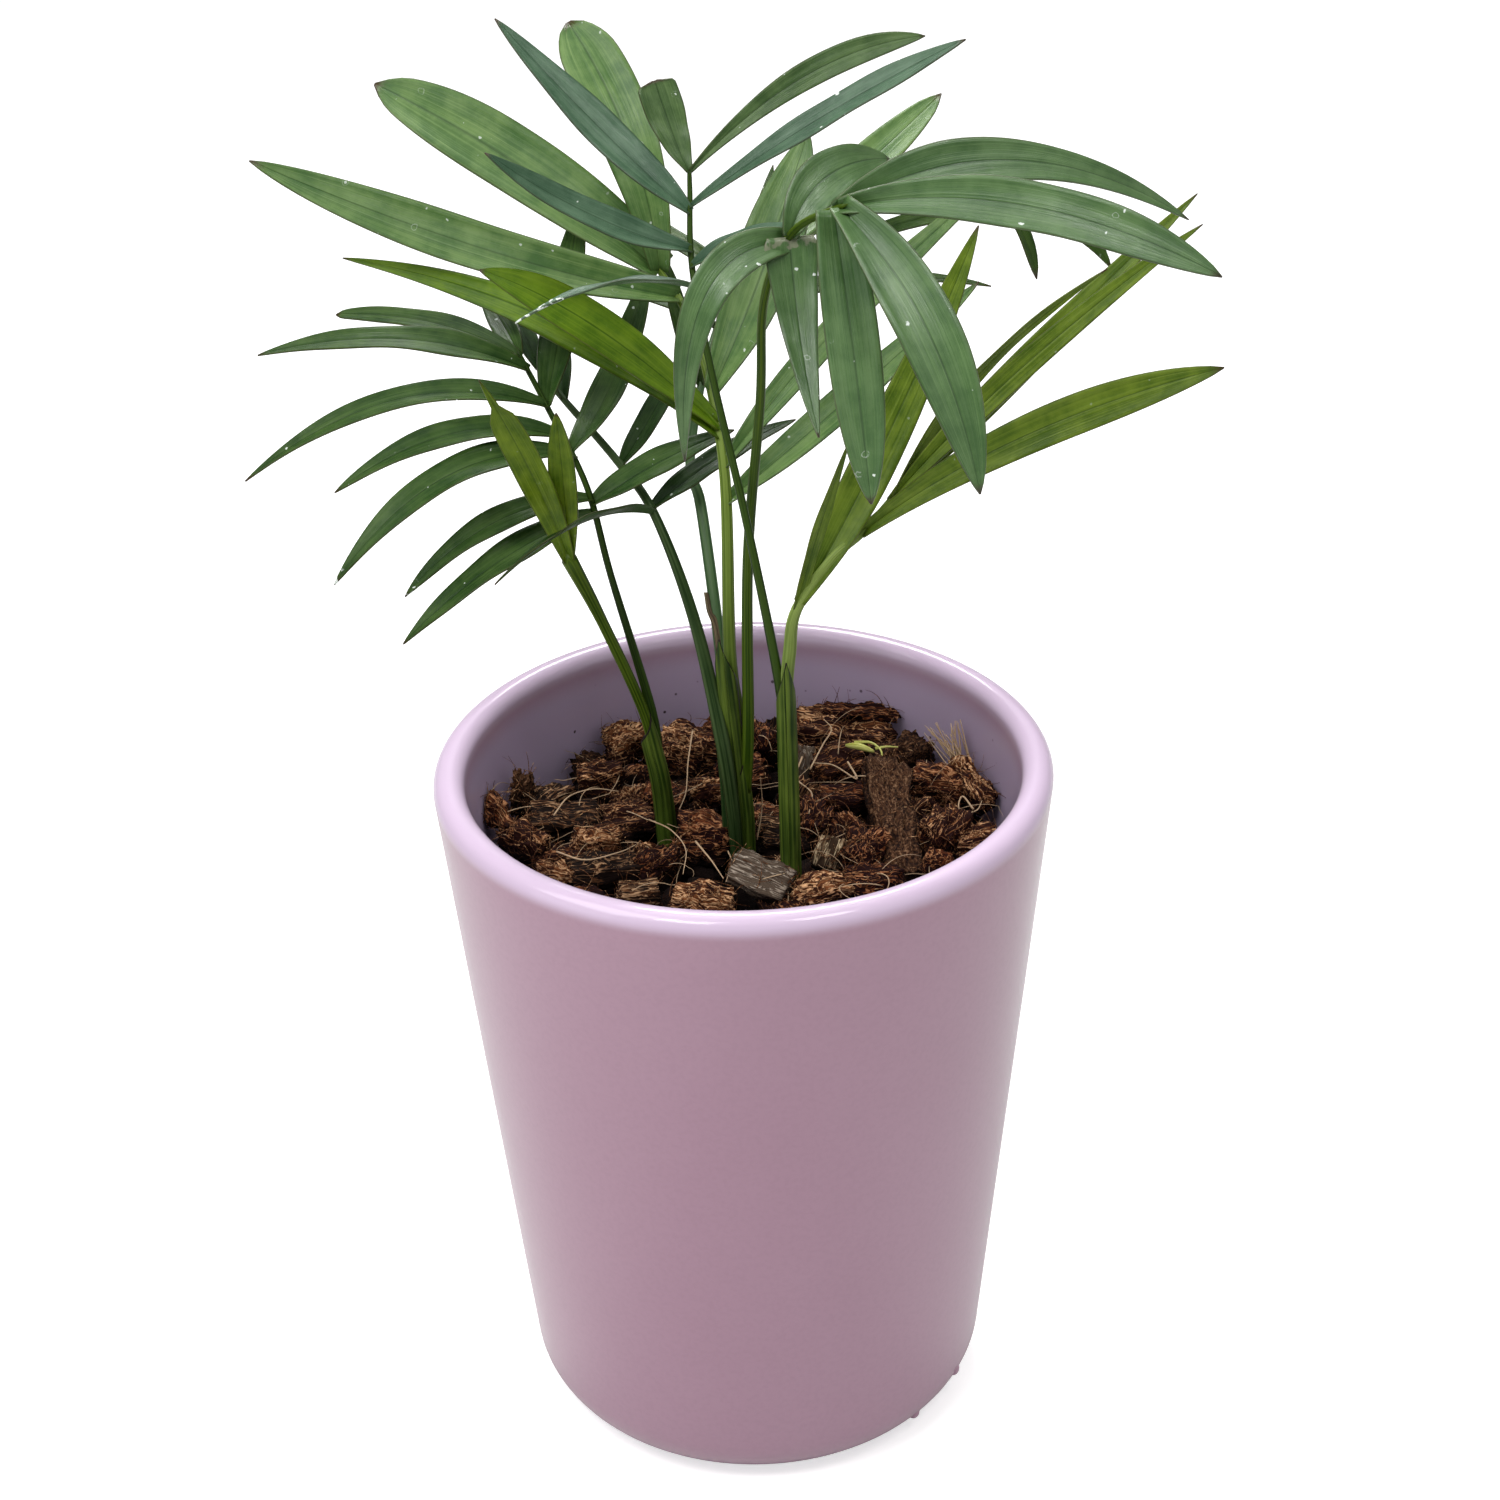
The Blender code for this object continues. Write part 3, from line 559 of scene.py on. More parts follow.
def tinted(tree, factor, colour, tint):
    """A colour that goes over to itself times a tint."""
    return blend(tree, factor, colour, blend(tree, 1.0, colour, tint, "MULTIPLY"))


def attribute(tree, name, output="Fac"):
    """What a layer of the mesh holds."""
    return node(tree, "Attribute", attribute_name=name).outputs[output]


def place_of(tree):
    """The surface's place in the model's frame, in metres."""
    return node(tree, "TexCoord").outputs["Object"]


def height_ramp(tree, levels, start=0.0, end=1.0):
    """A value that goes from start to end between two heights in millimetres."""
    height = node(tree, "SeparateXYZ", {0: place_of(tree)}).outputs[2]
    return ramp(tree, height, levels[0] * MM, levels[1] * MM, start, end)


def mottle(tree, vector, scale, detail):
    """Plain noise."""
    inputs = {"Vector": vector, "Scale": scale, "Detail": detail}
    return node(tree, "TexNoise", inputs).outputs[0]


def streaks(tree, vector, stretch, shift, detail):
    """Noise drawn out along some axes of a vector."""
    moved = node(tree, "Mapping", {"Vector": vector, "Scale": stretch, "Location": shift})
    return mottle(tree, moved.outputs[0], 1.0, detail)


def warp(tree, vector, push, strength):
    """A vector pushed about by the colour of a noise."""
    centred = node(tree, "VectorMath", {0: push, 1: (0.5, 0.5, 0.5)}, operation="SUBTRACT")
    inputs = {0: centred.outputs[0], "Scale": strength}
    pushed = node(tree, "VectorMath", inputs, operation="SCALE")
    return node(tree, "VectorMath", {0: vector, 1: pushed.outputs[0]}, operation="ADD").outputs[0]


def spots(tree, vector, scale):
    """Scattered points: how far the nearest one is, and three random values of its own."""
    inputs = {"Vector": vector, "Scale": scale, "Randomness": 1.0}
    made = node(tree, "TexVoronoi", inputs).outputs
    return made["Distance"], node(tree, "SeparateColor", {0: made["Color"]}).outputs


def new_group(name, inputs, outputs=("Colour", "Roughness", "Height")):
    """A shader node group; returns its tree, its inputs' sockets and its output node."""
    group = bpy.data.node_groups.new(name, "ShaderNodeTree")
    for label, default in inputs.items():
        kind = "NodeSocketFloat" if isinstance(default, float) else "NodeSocketColor"
        socket = group.interface.new_socket(name=label, in_out="INPUT", socket_type=kind)
        socket.default_value = default
    for label in outputs:
        kind = "NodeSocketColor" if label == "Colour" else "NodeSocketFloat"
        group.interface.new_socket(name=label, in_out="OUTPUT", socket_type=kind)
    start = group.nodes.new("NodeGroupInput")
    end = group.nodes.new("NodeGroupOutput")
    return group, start.outputs, end


def finish_group(group, end, **values):
    """Link the group's results to its output node."""
    for name, value in values.items():
        group.links.new(value, end.inputs[name])
    return group


def leaf_skin():
    """Blades: patches and fine veins, painted shade in the midrib's crease, a brown edge and tip,
    pale marks.
    """
    inputs = {
        "Deep": (0.03, 0.09, 0.03, 1),
        "Fresh": (0.06, 0.16, 0.05, 1),
        "Vein": (0.10, 0.20, 0.08, 1),
        "Crease": 0.5,
        "Marks": 0.5,
    }
    tree, given, end = new_group("leaf_skin", inputs)
    blade = attribute(tree, "blade", "Vector")
    parts = node(tree, "SeparateXYZ", {0: blade}).outputs
    across = maths(tree, "ABSOLUTE", parts[0])
    along = parts[1]
    place = place_of(tree)
    broad = streaks(tree, blade, (1.5, 3.4, 9.0), (0.0, 0.0, 0.0), 3.0)
    fine = streaks(tree, blade, (15.0, 1.4, 23.0), (3.0, 5.0, 1.0), 4.0)
    cells = streaks(tree, blade, (48.0, 6.0, 31.0), (9.0, 2.0, 4.0), 2.0)
    inputs = {"Vector": place, "Scale": 170.0, "Detail": 5.0, "Roughness": 0.62}
    cloud, drift = node(tree, "TexNoise", inputs).outputs[:2]

    # Greens, veins and painted shade in the midrib's crease
    tone = ramp(tree, weighted(tree, (broad, 0.26), (fine, 0.24), (cloud, 0.50)), 0.36, 0.64)
    colour = blend(tree, tone, given["Deep"], given["Fresh"])
    side_vein = ramp(tree, offset_from(tree, across, 0.5), 0.0, 0.025, 1.0, 0.0)
    for share in (
        ramp(tree, fine, 0.54, 0.74, 0.0, 0.30),
        ramp(tree, broad, 0.58, 0.72, 0.0, 0.18),
        times(tree, side_vein, 0.08),
    ):
        colour = blend(tree, share, colour, given["Vein"])
    crease = ramp(tree, across, 0.012, 0.06, 1.0, 0.0)
    # Painted shade: the crease is darkened; a negative amount makes it paler instead
    colour = tinted(tree, times(tree, crease, given["Crease"]), colour, CREASE_SHADE_TINT)

    # Brown edge and tip, and a torn root
    colour = blend(tree, ramp(tree, across, 0.95, 1.0, 0.0, 0.45), colour, EDGE_BROWN)
    ragged = maths(tree, "MULTIPLY_ADD", fine, 0.06, along)
    colour = blend(tree, ramp(tree, ragged, 0.995, 1.03), colour, TIP_BROWN)
    near_root = ramp(tree, along, 0.0, 0.12, 0.16, -0.26)
    worn = maths(tree, "ADD", mottle(tree, place, 620.0, 3.0), near_root)
    torn = times(tree, ramp(tree, worn, 0.50, 0.60, 0.0, 0.7), attribute(tree, "scar"))
    colour = blend(tree, torn, colour, SCUFFED)

    # Dots and a few rings that water left, and white flecks near some tips
    distance, chance = spots(tree, warp(tree, place, drift, 0.0030), 330.0)
    edge = maths(tree, "SUBTRACT", distance, times(tree, chance[1], 0.075))
    dot = ramp(tree, edge, 0.02, 0.055, 1.0, 0.0)
    dot = times(tree, dot, maths(tree, "GREATER_THAN", chance[0], 0.52))
    ring = ramp(tree, offset_from(tree, distance, 0.20), 0.0, 0.035, 0.4, 0.0)
    ring = times(tree, ring, maths(tree, "GREATER_THAN", chance[2], 0.93))
    ring = times(tree, ring, ramp(tree, cloud, 0.48, 0.54))
    mark = times(tree, maths(tree, "MAXIMUM", dot, ring), given["Marks"])
    fleck = ramp(tree, mottle(tree, place, 900.0, 1.0), 0.55, 0.60)
    mark = maths(tree, "MAXIMUM", mark, times(tree, fleck, attribute(tree, "flecks")))
    colour = blend(tree, mark, colour, WATER_MARK)

    rough = maths(tree, "MULTIPLY_ADD", mark, 0.3, ramp(tree, cells, 0.3, 0.7, 0.27, 0.40))
    height = weighted(tree, (fine, 0.6), (cells, 0.4), (crease, -0.5))
    return finish_group(tree, end, Colour=colour, Roughness=rough, Height=height)


def stalk_skin():
    """Stalks and sheaths: ribs along them, darker towards the foot, with a dry dark margin."""
    inputs = {
        "Deep": (0.03, 0.09, 0.03, 1),
        "Fresh": (0.08, 0.18, 0.05, 1),
        "Ribs": 6.0,
        "Foot Darkening": 0.75,
    }
    tree, given, end = new_group("stalk_skin", inputs)
    skin = attribute(tree, "blade", "Vector")
    stretch = node(tree, "CombineXYZ", {0: given["Ribs"], 1: 0.5, 2: 7.0}).outputs[0]
    spread = node(tree, "VectorMath", {0: skin, 1: stretch}, operation="MULTIPLY").outputs[0]
    rib = mottle(tree, spread, 1.0, 3.0)
    broad = streaks(tree, skin, (1.2, 1.4, 5.0), (0.0, 0.0, 0.0), 2.0)
    tone = ramp(tree, weighted(tree, (rib, 0.7), (broad, 0.3)), 0.36, 0.64)
    colour = blend(tree, tone, given["Deep"], given["Fresh"])
    # The foot turns darker, fading out between two heights
    foot_darkening = times(tree, height_ramp(tree, FOOT_DARKENING_LEVELS, 1.0, 0.0), given["Foot Darkening"])
    colour = tinted(tree, foot_darkening, colour, FOOT_DARKENING_TINT)
    distance, chance = spots(tree, place_of(tree), 420.0)
    speck = ramp(tree, distance, 0.10, 0.18, 1.0, 0.0)
    speck = times(tree, speck, maths(tree, "GREATER_THAN", chance[0], 0.985))
    colour = blend(tree, speck, colour, STALK_FLECK)
    dry = maths(tree, "MULTIPLY_ADD", rib, 0.3, attribute(tree, "margin"))
    colour = blend(tree, ramp(tree, dry, 0.55, 0.85), colour, DRY_BLACK)
    rough = ramp(tree, rib, 0.3, 0.7, 0.32, 0.46)
    return finish_group(tree, end, Colour=colour, Roughness=rough, Height=rib)


def husk_skin():
    """Coconut husk: curled fibres and grit over dark pith, tan where they stand out, with painted
    light on chip tops and painted shade low down.
    """
    inputs = {
        "Dark": (0.012, 0.004, 0.002, 1),
        "Rust": (0.10, 0.034, 0.012, 1),
        "Tan": (0.34, 0.19, 0.10, 1),
        "Curl": 5.0,
        "Grit": 0.0,
    }
    tree, given, end = new_group("husk_skin", inputs, outputs=("Colour", "Height"))
    grain = attribute(tree, "grain", "Vector")
    wander = node(tree, "TexNoise", {"Vector": grain, "Scale": 0.22, "Detail": 1.0}).outputs[1]
    bent = warp(tree, grain, wander, given["Curl"])
    fibre = streaks(tree, bent, (0.10, 1.0, 1.0), (0.0, 0.0, 0.0), 2.0)
    thin = streaks(tree, bent, (0.16, 2.2, 2.2), (7.0, 1.0, 3.0), 2.0)
    lumps = streaks(tree, grain, (0.22, 0.3, 0.3), (1.0, 8.0, 2.0), 2.0)
    strand = ramp(tree, offset_from(tree, fibre, 0.5), 0.0, 0.07, 1.0, 0.0)
    level = weighted(tree, (strand, 0.34), (thin, 0.5), (lumps, 0.42))
    level = maths(tree, "ADD", level, -0.14)
    grit = maths(tree, "MULTIPLY_ADD", mottle(tree, grain, 1.5, 3.0), 1.3, -0.22)
    over = maths(tree, "SUBTRACT", grit, level)
    level = maths(tree, "MULTIPLY_ADD", over, given["Grit"], level)
    # The shade layer: each piece's random tint, with painted light on chip tops and painted shade
    # below
    toned = maths(tree, "MULTIPLY_ADD", attribute(tree, "shade"), 0.08, level)
    colour = blend(tree, ramp(tree, toned, 0.38, 0.58), given["Dark"], given["Rust"])
    colour = blend(tree, ramp(tree, toned, 0.54, 0.77), colour, given["Tan"])
    # Painted shade: nearly black towards the bottom, between and under the chips
    painted_shade = height_ramp(tree, HUSK_SHADE_LEVELS, HUSK_SHADE_SHARE, 0.0)
    colour = blend(tree, painted_shade, colour, HUSK_PAINTED_SHADE)
    return finish_group(tree, end, Colour=colour, Height=level)


def glaze_skin():
    """Satin glaze: faint cloudy mottle, a paler, bluer inside that is painted reflection, a lip that
    is thinner glaze and painted highlight, and a few dark specks inside.
    """
    inputs = {
        "Glaze": (0.400, 0.238, 0.315, 1),
        "Inside": (0.470, 0.370, 0.520, 1),
        "Lip Glaze and Highlight": (0.620, 0.490, 0.640, 1),
    }
    tree, given, end = new_group("glaze_skin", inputs)
    place = place_of(tree)
    cloud = mottle(tree, place, 14.0, 3.0)
    fine = mottle(tree, place, 900.0, 2.0)
    parts = node(tree, "SeparateXYZ", {0: place}).outputs
    level = node(tree, "CombineXYZ", {0: parts[0], 1: parts[1], 2: 0.0}).outputs[0]
    radius = node(tree, "VectorMath", {0: level}, operation="LENGTH").outputs["Value"]
    wall = maths(tree, "MULTIPLY_ADD", parts[2], wall_slope(), BASE_RADIUS * MM)
    depth = maths(tree, "SUBTRACT", wall, radius)
    inside = ramp(tree, depth, WALL * MM * 0.62, WALL * MM * 0.98)
    inside = times(tree, inside, height_ramp(tree, INSIDE_LEVELS, 1.0, 0.0))
    toned = blend(tree, ramp(tree, cloud, 0.3, 0.7, 0.0, 0.10), given["Glaze"], GLAZE_CLOUD)
    toned = blend(tree, ramp(tree, fine, 0.35, 0.75, 0.0, 0.12), toned, GLAZE_GRAIN)
    # Painted reflection: the inside wall turns paler and bluer
    colour = blend(tree, inside, toned, given["Inside"])
    # The lip turns paler: partly thinner glaze at the edge, partly a painted highlight
    colour = blend(tree, height_ramp(tree, LIP_LEVELS), colour, given["Lip Glaze and Highlight"])
    distance, chance = spots(tree, place, 420.0)
    speck = ramp(tree, distance, 0.10, 0.20, 1.0, 0.0)
    speck = times(tree, speck, maths(tree, "GREATER_THAN", chance[0], 0.88))
    speck = times(tree, speck, inside)
    speck = times(tree, speck, height_ramp(tree, SPECK_LEVELS, 1.0, 0.0))
    colour = blend(tree, speck, colour, GLAZE_SPECK)
    rough = ramp(tree, cloud, 0.3, 0.7, 0.30, 0.38)
    height = weighted(tree, (cloud, 0.5), (fine, 0.02))
    return finish_group(tree, end, Colour=colour, Roughness=rough, Height=height)


def material(name, group, values, bump, distance, rough=None, **sockets):
    """A Principled BSDF fed by one of the surface groups; the bump's distance is in mm."""
    made = bpy.data.materials.new(name)
    made.use_nodes = True
    tree = made.node_tree
    shader = tree.nodes["Principled BSDF"]
    skin = tree.nodes.new("ShaderNodeGroup")
    skin.node_tree = group
    for label, value in values.items():
        skin.inputs[label].default_value = value
    tree.links.new(skin.outputs["Colour"], shader.inputs["Base Color"])
    if rough is None:
        tree.links.new(skin.outputs["Roughness"], shader.inputs["Roughness"])
    else:
        shader.inputs["Roughness"].default_value = rough
    inputs = {"Height": skin.outputs["Height"], "Strength": bump, "Distance": distance * MM}
    tree.links.new(node(tree, "Bump", inputs).outputs[0], shader.inputs["Normal"])
    for label, value in sockets.items():
        shader.inputs[label.replace("_", " ")].default_value = value
    return made


# Shape helpers. Every bmesh is in millimetres until finish_piece makes it metres.


def finish_piece(name, bm, shades, merge=0.002, recalculate=True):
    """Turn a bmesh in millimetres into a named piece on the part's one body."""
    bmesh.ops.remove_doubles(bm, verts=bm.verts, dist=merge)
    bmesh.ops.holes_fill(bm, edges=bm.edges, sides=STALK_ROUND)
    if recalculate:
        bmesh.ops.recalc_face_normals(bm, faces=bm.faces)
    bmesh.ops.scale(bm, vec=(MM, MM, MM), verts=bm.verts)
    mesh = bpy.data.meshes.new(name)
    bm.to_mesh(mesh)
    bm.free()
    mesh.shade_smooth()
    piece = bpy.data.objects.new(name, mesh)
    bpy.context.scene.collection.objects.link(piece)
    for shade in shades:
        mesh.materials.append(shade)
    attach(piece, "root")
    return piece


def thicken(piece, thickness, next_material=0):
    """Give a sheet its real thickness, half to each side."""
    solid = piece.modifiers.new("thickness", "SOLIDIFY")
    solid.thickness = thickness * MM
    solid.offset = 0.0
    solid.material_offset = next_material


def sheet(bm, along, across, put):
    """A sheet of faces whose corners are placed by put(vert, t, s), t and s from 0 to 1."""
    made = bmesh.ops.create_grid(bm, x_segments=along, y_segments=across, size=0.5)["verts"]
    for vert in made:
        put(vert, vert.co.x + 0.5, vert.co.y + 0.5)
    return made


def smooth_path(points, steps):
    """Points of a smooth curve through the named points."""
    named = [Vector(p) for p in points]
    ends = [named[0] * 2 - named[1]] + named + [named[-1] * 2 - named[-2]]
    path = []
    for a, b, c, d in zip(ends, ends[1:], ends[2:], ends[3:]):
        for i in range(steps):
            t = i / steps
            bend = (2 * a - 5 * b + 4 * c - d) * t * t + (3 * b - a - 3 * c + d) * t ** 3
            path.append((2 * b + (c - a) * t + bend) / 2)
    path.append(named[-1])
    return path


def point_along(path, distance):
    """The point that lies this far along the path."""
    for start, end in zip(path, path[1:]):
        step = (end - start).length
        if distance <= step:
            return start.lerp(end, distance / step)
        distance -= step
    return path[-1].copy()


def tube(bm, path, radius_at, sides, front=Vector((0, -1, 0)), number=0.0, layer=None):
    """A tube along a path; radius_at(t, angle) gives its radius, angle 0 at the front."""
    last = len(path) - 1

    def put(vert, t, s):
        i = round(t * last)
        along = (path[min(i + 1, last)] - path[max(i - 1, 0)]).normalized()
        ahead = (front - along * front.dot(along)).normalized()
        aside = along.cross(ahead)
        angle = math.tau * s
        offset = ahead * math.cos(angle) + aside * math.sin(angle)
        vert.co = path[i] + offset * radius_at(t, angle)
        if layer is not None:
            vert[layer] = Vector((math.sin(angle / 2) * 2 - 1, i * 0.12, number))

    return sheet(bm, last, sides, put)


def arc(centre, radius, start, end, steps):
    """Points of an arc in the XZ plane, angles in degrees from +X towards +Z."""
    points = []
    for i in range(steps + 1):
        angle = math.radians(start + (end - start) * i / steps)
        points.append((centre[0] + radius * math.cos(angle), centre[1] + radius * math.sin(angle)))
    return points


def between(start, end, steps):
    """Points that divide a straight run, its ends left out."""
    points = []
    for i in range(1, steps):
        t = i / steps
        points.append((start[0] + (end[0] - start[0]) * t, start[1] + (end[1] - start[1]) * t))
    return points


def wall_slope():
    """How much the pot's wall leans out, per unit of height."""
    return (RIM_RADIUS - BASE_RADIUS) / POT_HEIGHT


def outer_radius(z):
    """The outside of the pot's wall at a height."""
    return BASE_RADIUS + wall_slope() * z


def inner_radius(z):
    """The inside of the pot's wall at a height."""
    return outer_radius(z) - WALL


def spun(bm, profile, steps):
    """Spin a profile of (radius, height) points round the Z axis."""
    verts = [bm.verts.new((x, 0.0, z)) for x, z in profile]
    edges = [bm.edges.new(pair) for pair in zip(verts, verts[1:])]
    bmesh.ops.spin(
        bm, geom=verts + edges, cent=(0, 0, 0), axis=(0, 0, 1),
        angle=math.tau, steps=steps, use_merge=True,
    )


# Pot


def make_pot():
    """The glazed pot: flat floor, rounded foot, straight leaning wall and rounded lip."""
    lean = math.degrees(math.atan(wall_slope()))
    lip = WALL / 2.0
    foot_x = outer_radius(FOOT_ROUNDING) - FOOT_ROUNDING / math.cos(math.radians(lean))
    inside_z = FLOOR + INNER_ROUNDING
    inside_x = inner_radius(inside_z) - INNER_ROUNDING
    inner = arc((inside_x, inside_z), INNER_ROUNDING, -90.0, -lean, 8)
    rim = arc((RIM_RADIUS - lip, POT_HEIGHT - lip), lip, 180.0 - lean, -lean, 20)
    foot = arc((foot_x, FOOT_ROUNDING), FOOT_ROUNDING, -lean, -90.0, 14)
    profile = [(0.0, FLOOR)] + inner + between(inner[-1], rim[0], 12)
    profile += rim + between(rim[-1], foot[0], 16) + foot + [(0.0, 0.0)]
    bm = bmesh.new()
    spun(bm, profile, POT_STEPS)
    for vert in bm.verts:
        swell = noise.noise(Vector((vert.co.x, vert.co.y, vert.co.z * 0.6)) * 0.02)
        if 1.0 < vert.co.z < POT_HEIGHT - 8.0:
            vert.co.xy *= 1.0 + POT_SWELL * swell
    for turn, height, size in GLAZE_BEADS:
        angle = math.radians(turn)
        bead = bmesh.ops.create_uvsphere(bm, u_segments=16, v_segments=10, radius=size)["verts"]
        bmesh.ops.scale(bm, vec=BEAD_SHAPE, verts=bead)
        below = max(0.0, FOOT_ROUNDING - height)
        inset = FOOT_ROUNDING - math.sqrt(FOOT_ROUNDING ** 2 - below ** 2)
        radius = outer_radius(height) - inset - BEAD_SINK
        middle = Vector((math.cos(angle), math.sin(angle), 0.0)) * radius
        bmesh.ops.translate(bm, vec=middle + Vector((0, 0, height)), verts=bead)
    pot = finish_piece("pot_glazed", bm, [glaze])
    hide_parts("pot")


# Husk


def husk_layers(bm):
    """The layers that the husk's look reads: place in the grain, and how light it is, a random tint
    with painted light and shade added on the chips.
    """
    return bm.verts.layers.float_vector.new("grain"), bm.verts.layers.float.new("shade")


def make_bed():
    """The plug of fine dark husk that the chips lie on, made darker still as painted shade under
    them.
    """
    low = FLOOR + PITH_GAP
    corner = FLOOR + INNER_ROUNDING
    top = FILL_TOP - PITH_DROP
    edge = inner_radius(top) - PITH_GAP
    profile = [(0.0, low), (inner_radius(corner) - INNER_ROUNDING, low)]
    profile += [(inner_radius(corner) - PITH_GAP, corner), (edge, top)]
    profile += between((edge, top), (0.0, top), 40) + [(0.0, top)]
    bm = bmesh.new()
    grain, shade = husk_layers(bm)
    spun(bm, profile, PITH_STEPS)
    for vert in bm.verts:
        if vert.co.z > top - 1.0:
            vert.co.z += 1.6 * noise.noise(vert.co * 0.22) + 0.7 * noise.noise(vert.co * 0.8)
        vert[grain] = vert.co.copy()
        vert[shade] = PITH_PAINTED_SHADE
    bed = finish_piece("husk_bed", bm, [husk_shade("pith_and_painted_shade")])
    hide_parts("husk_fill")


def keep_inside(point, gap):
    """Move a point inwards if it is nearer to the pot's wall than the gap."""
    limit = inner_radius(point.z) - gap
    if point.xy.length > limit:
        point.xy *= limit / point.xy.length


def chip(bm, rng, layers, place, size, turn, tint, kind, cuts):
    """One chip of husk: a block rounded and ridged as its kind is."""
    grain, shade = layers
    first = len(bm.verts)
    first_face = len(bm.faces)
    made = bmesh.ops.create_cube(bm, size=2.0)
    edges = list({edge for vert in made["verts"] for edge in vert.link_edges})
    bmesh.ops.subdivide_edges(bm, edges=edges, cuts=cuts, use_grid_fill=True)
    bm.verts.ensure_lookup_table()
    bm.faces.ensure_lookup_table()
    verts = bm.verts[first:]
    for face in bm.faces[first_face:]:
        face.material_index = list(CHIP_KINDS).index(kind)
    roundness, ragged, swirl, _ = CHIP_KINDS[kind]
    shift = Vector([rng.uniform(-90.0, 90.0) for _ in range(3)])
    half = Vector(size) / 2.0
    for vert in verts:
        corner = vert.co.copy()
        outward = corner.normalized()
        point = corner.lerp(outward * 1.2, roundness) * half
        bulge = noise.noise(point * 0.2 + shift)
        warped = point + noise.noise_vector(point * 0.25 + shift) * swirl
        ridge = abs(noise.noise(warped * GRAIN_STRETCH * 0.5 + shift * 2.0))
        fibre = abs(noise.noise(warped * GRAIN_STRETCH * 1.3 + shift))
        point += outward * min(half) * 0.6 * bulge
        point += outward * ragged * (0.6 - 2.6 * ridge - 1.6 * fibre)
        if abs(corner.x) > 0.98:
            frayed = noise.noise(Vector((0.0, point.y * 1.9, point.z * 1.9)) + shift)
            point.x += math.copysign(1.5 * ragged * frayed, corner.x)
        # Painted light and shade: faces that point up are made lighter, those that point down darker
        rise = (turn @ corner).z
        vert[grain] = point + shift
        vert[shade] = tint + 1.3 * rise - 0.6
        vert.co = turn @ point + Vector(place)
        vert.co.z = max(vert.co.z, FILL_TOP - CHIP_DEPTH)
        keep_inside(vert.co, 0.5)


def clear_of_stems(place, reach):
    """True where a piece of this reach keeps off the stems."""
    for foot, _, radius in STEMS.values():
        if (Vector(place).xy - Vector(foot).xy).length < reach + radius:
            return False
    return True


def clear_of_chunks(place, reach):
    """True where no chunk of the table lies on this place already."""
    for middle, size, *_ in CHUNKS:
        if (Vector(place).xy - Vector(middle).xy).length <= reach + size[1] * 0.4:
            return False
    return True


def turned(turn, lift, bank):
    """A chip's turn about Z after its nose is lifted and it is banked, in degrees."""
    made = Matrix.Identity(3)
    for angle, axis in ((turn, "Z"), (-lift, "Y"), (bank, "X")):
        made = made @ Matrix.Rotation(math.radians(angle), 3, axis)
    return made


def make_chips():
    """The chunks of the table over two layers of chips laid on a spiral."""
    shades = [husk_shade(row[3]) for row in CHIP_KINDS.values()]
    rng = random.Random(CHIP_SEED)
    noise.seed_set(CHIP_SEED)
    bm = bmesh.new()
    layers = husk_layers(bm)
    for place, size, turn, lift, bank, kind in CHUNKS:
        lift += rng.uniform(-9.0, 9.0)
        bank += rng.uniform(-14.0, 14.0)
        tint = rng.uniform(-1.0, 1.3)
        chip(bm, rng, layers, place, size, turned(turn, lift, bank), tint, kind, CHUNK_CUTS)
    chunks = finish_piece("husk_chunks", bm, shades)
    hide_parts("husk_fill")

    bm = bmesh.new()
    layers = husk_layers(bm)
    for count, lengths, heights, start, tip, painted_darkening in CHIP_LAYERS:
        for i in range(count):
            radius = (inner_radius(FILL_TOP) - CHIP_MARGIN) * math.sqrt((i + 0.5) / count)
            radius += rng.uniform(-1.5, 0.8)
            angle = start + i * GOLDEN_ANGLE
            place = (radius * math.cos(angle), radius * math.sin(angle), rng.uniform(*heights))
            size = (rng.uniform(*lengths), rng.uniform(6.0, 9.0), rng.uniform(4.6, 6.6))
            turn = turned(rng.uniform(0.0, 360.0), rng.uniform(-tip, tip), rng.uniform(-tip, tip))
            # Painted shade: loose chips come out darker than the chunks, the lower layer most
            tint = painted_darkening + rng.uniform(-0.8, 0.8)
            kind = rng.choice(LOOSE_KINDS)
            free = painted_darkening < -1.0 or clear_of_chunks(place, 3.4)
            if free and clear_of_stems(place, size[1] * 0.45):
                chip(bm, rng, layers, place, size, turn, tint, kind, CHIP_CUTS)
    chips = finish_piece("husk_chips", bm, shades)
    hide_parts("husk_fill")
    return [chunks, chips]


def thinning(size, share):
    """The radius of a fibre that loses a share of its size towards its tip."""
    return lambda t, angle: size * (1.0 - share * t)


def uniforms(rng, *ranges):
    """A vector of random values, each from its own range."""
    return Vector([rng.uniform(low, high) for low, high in ranges])


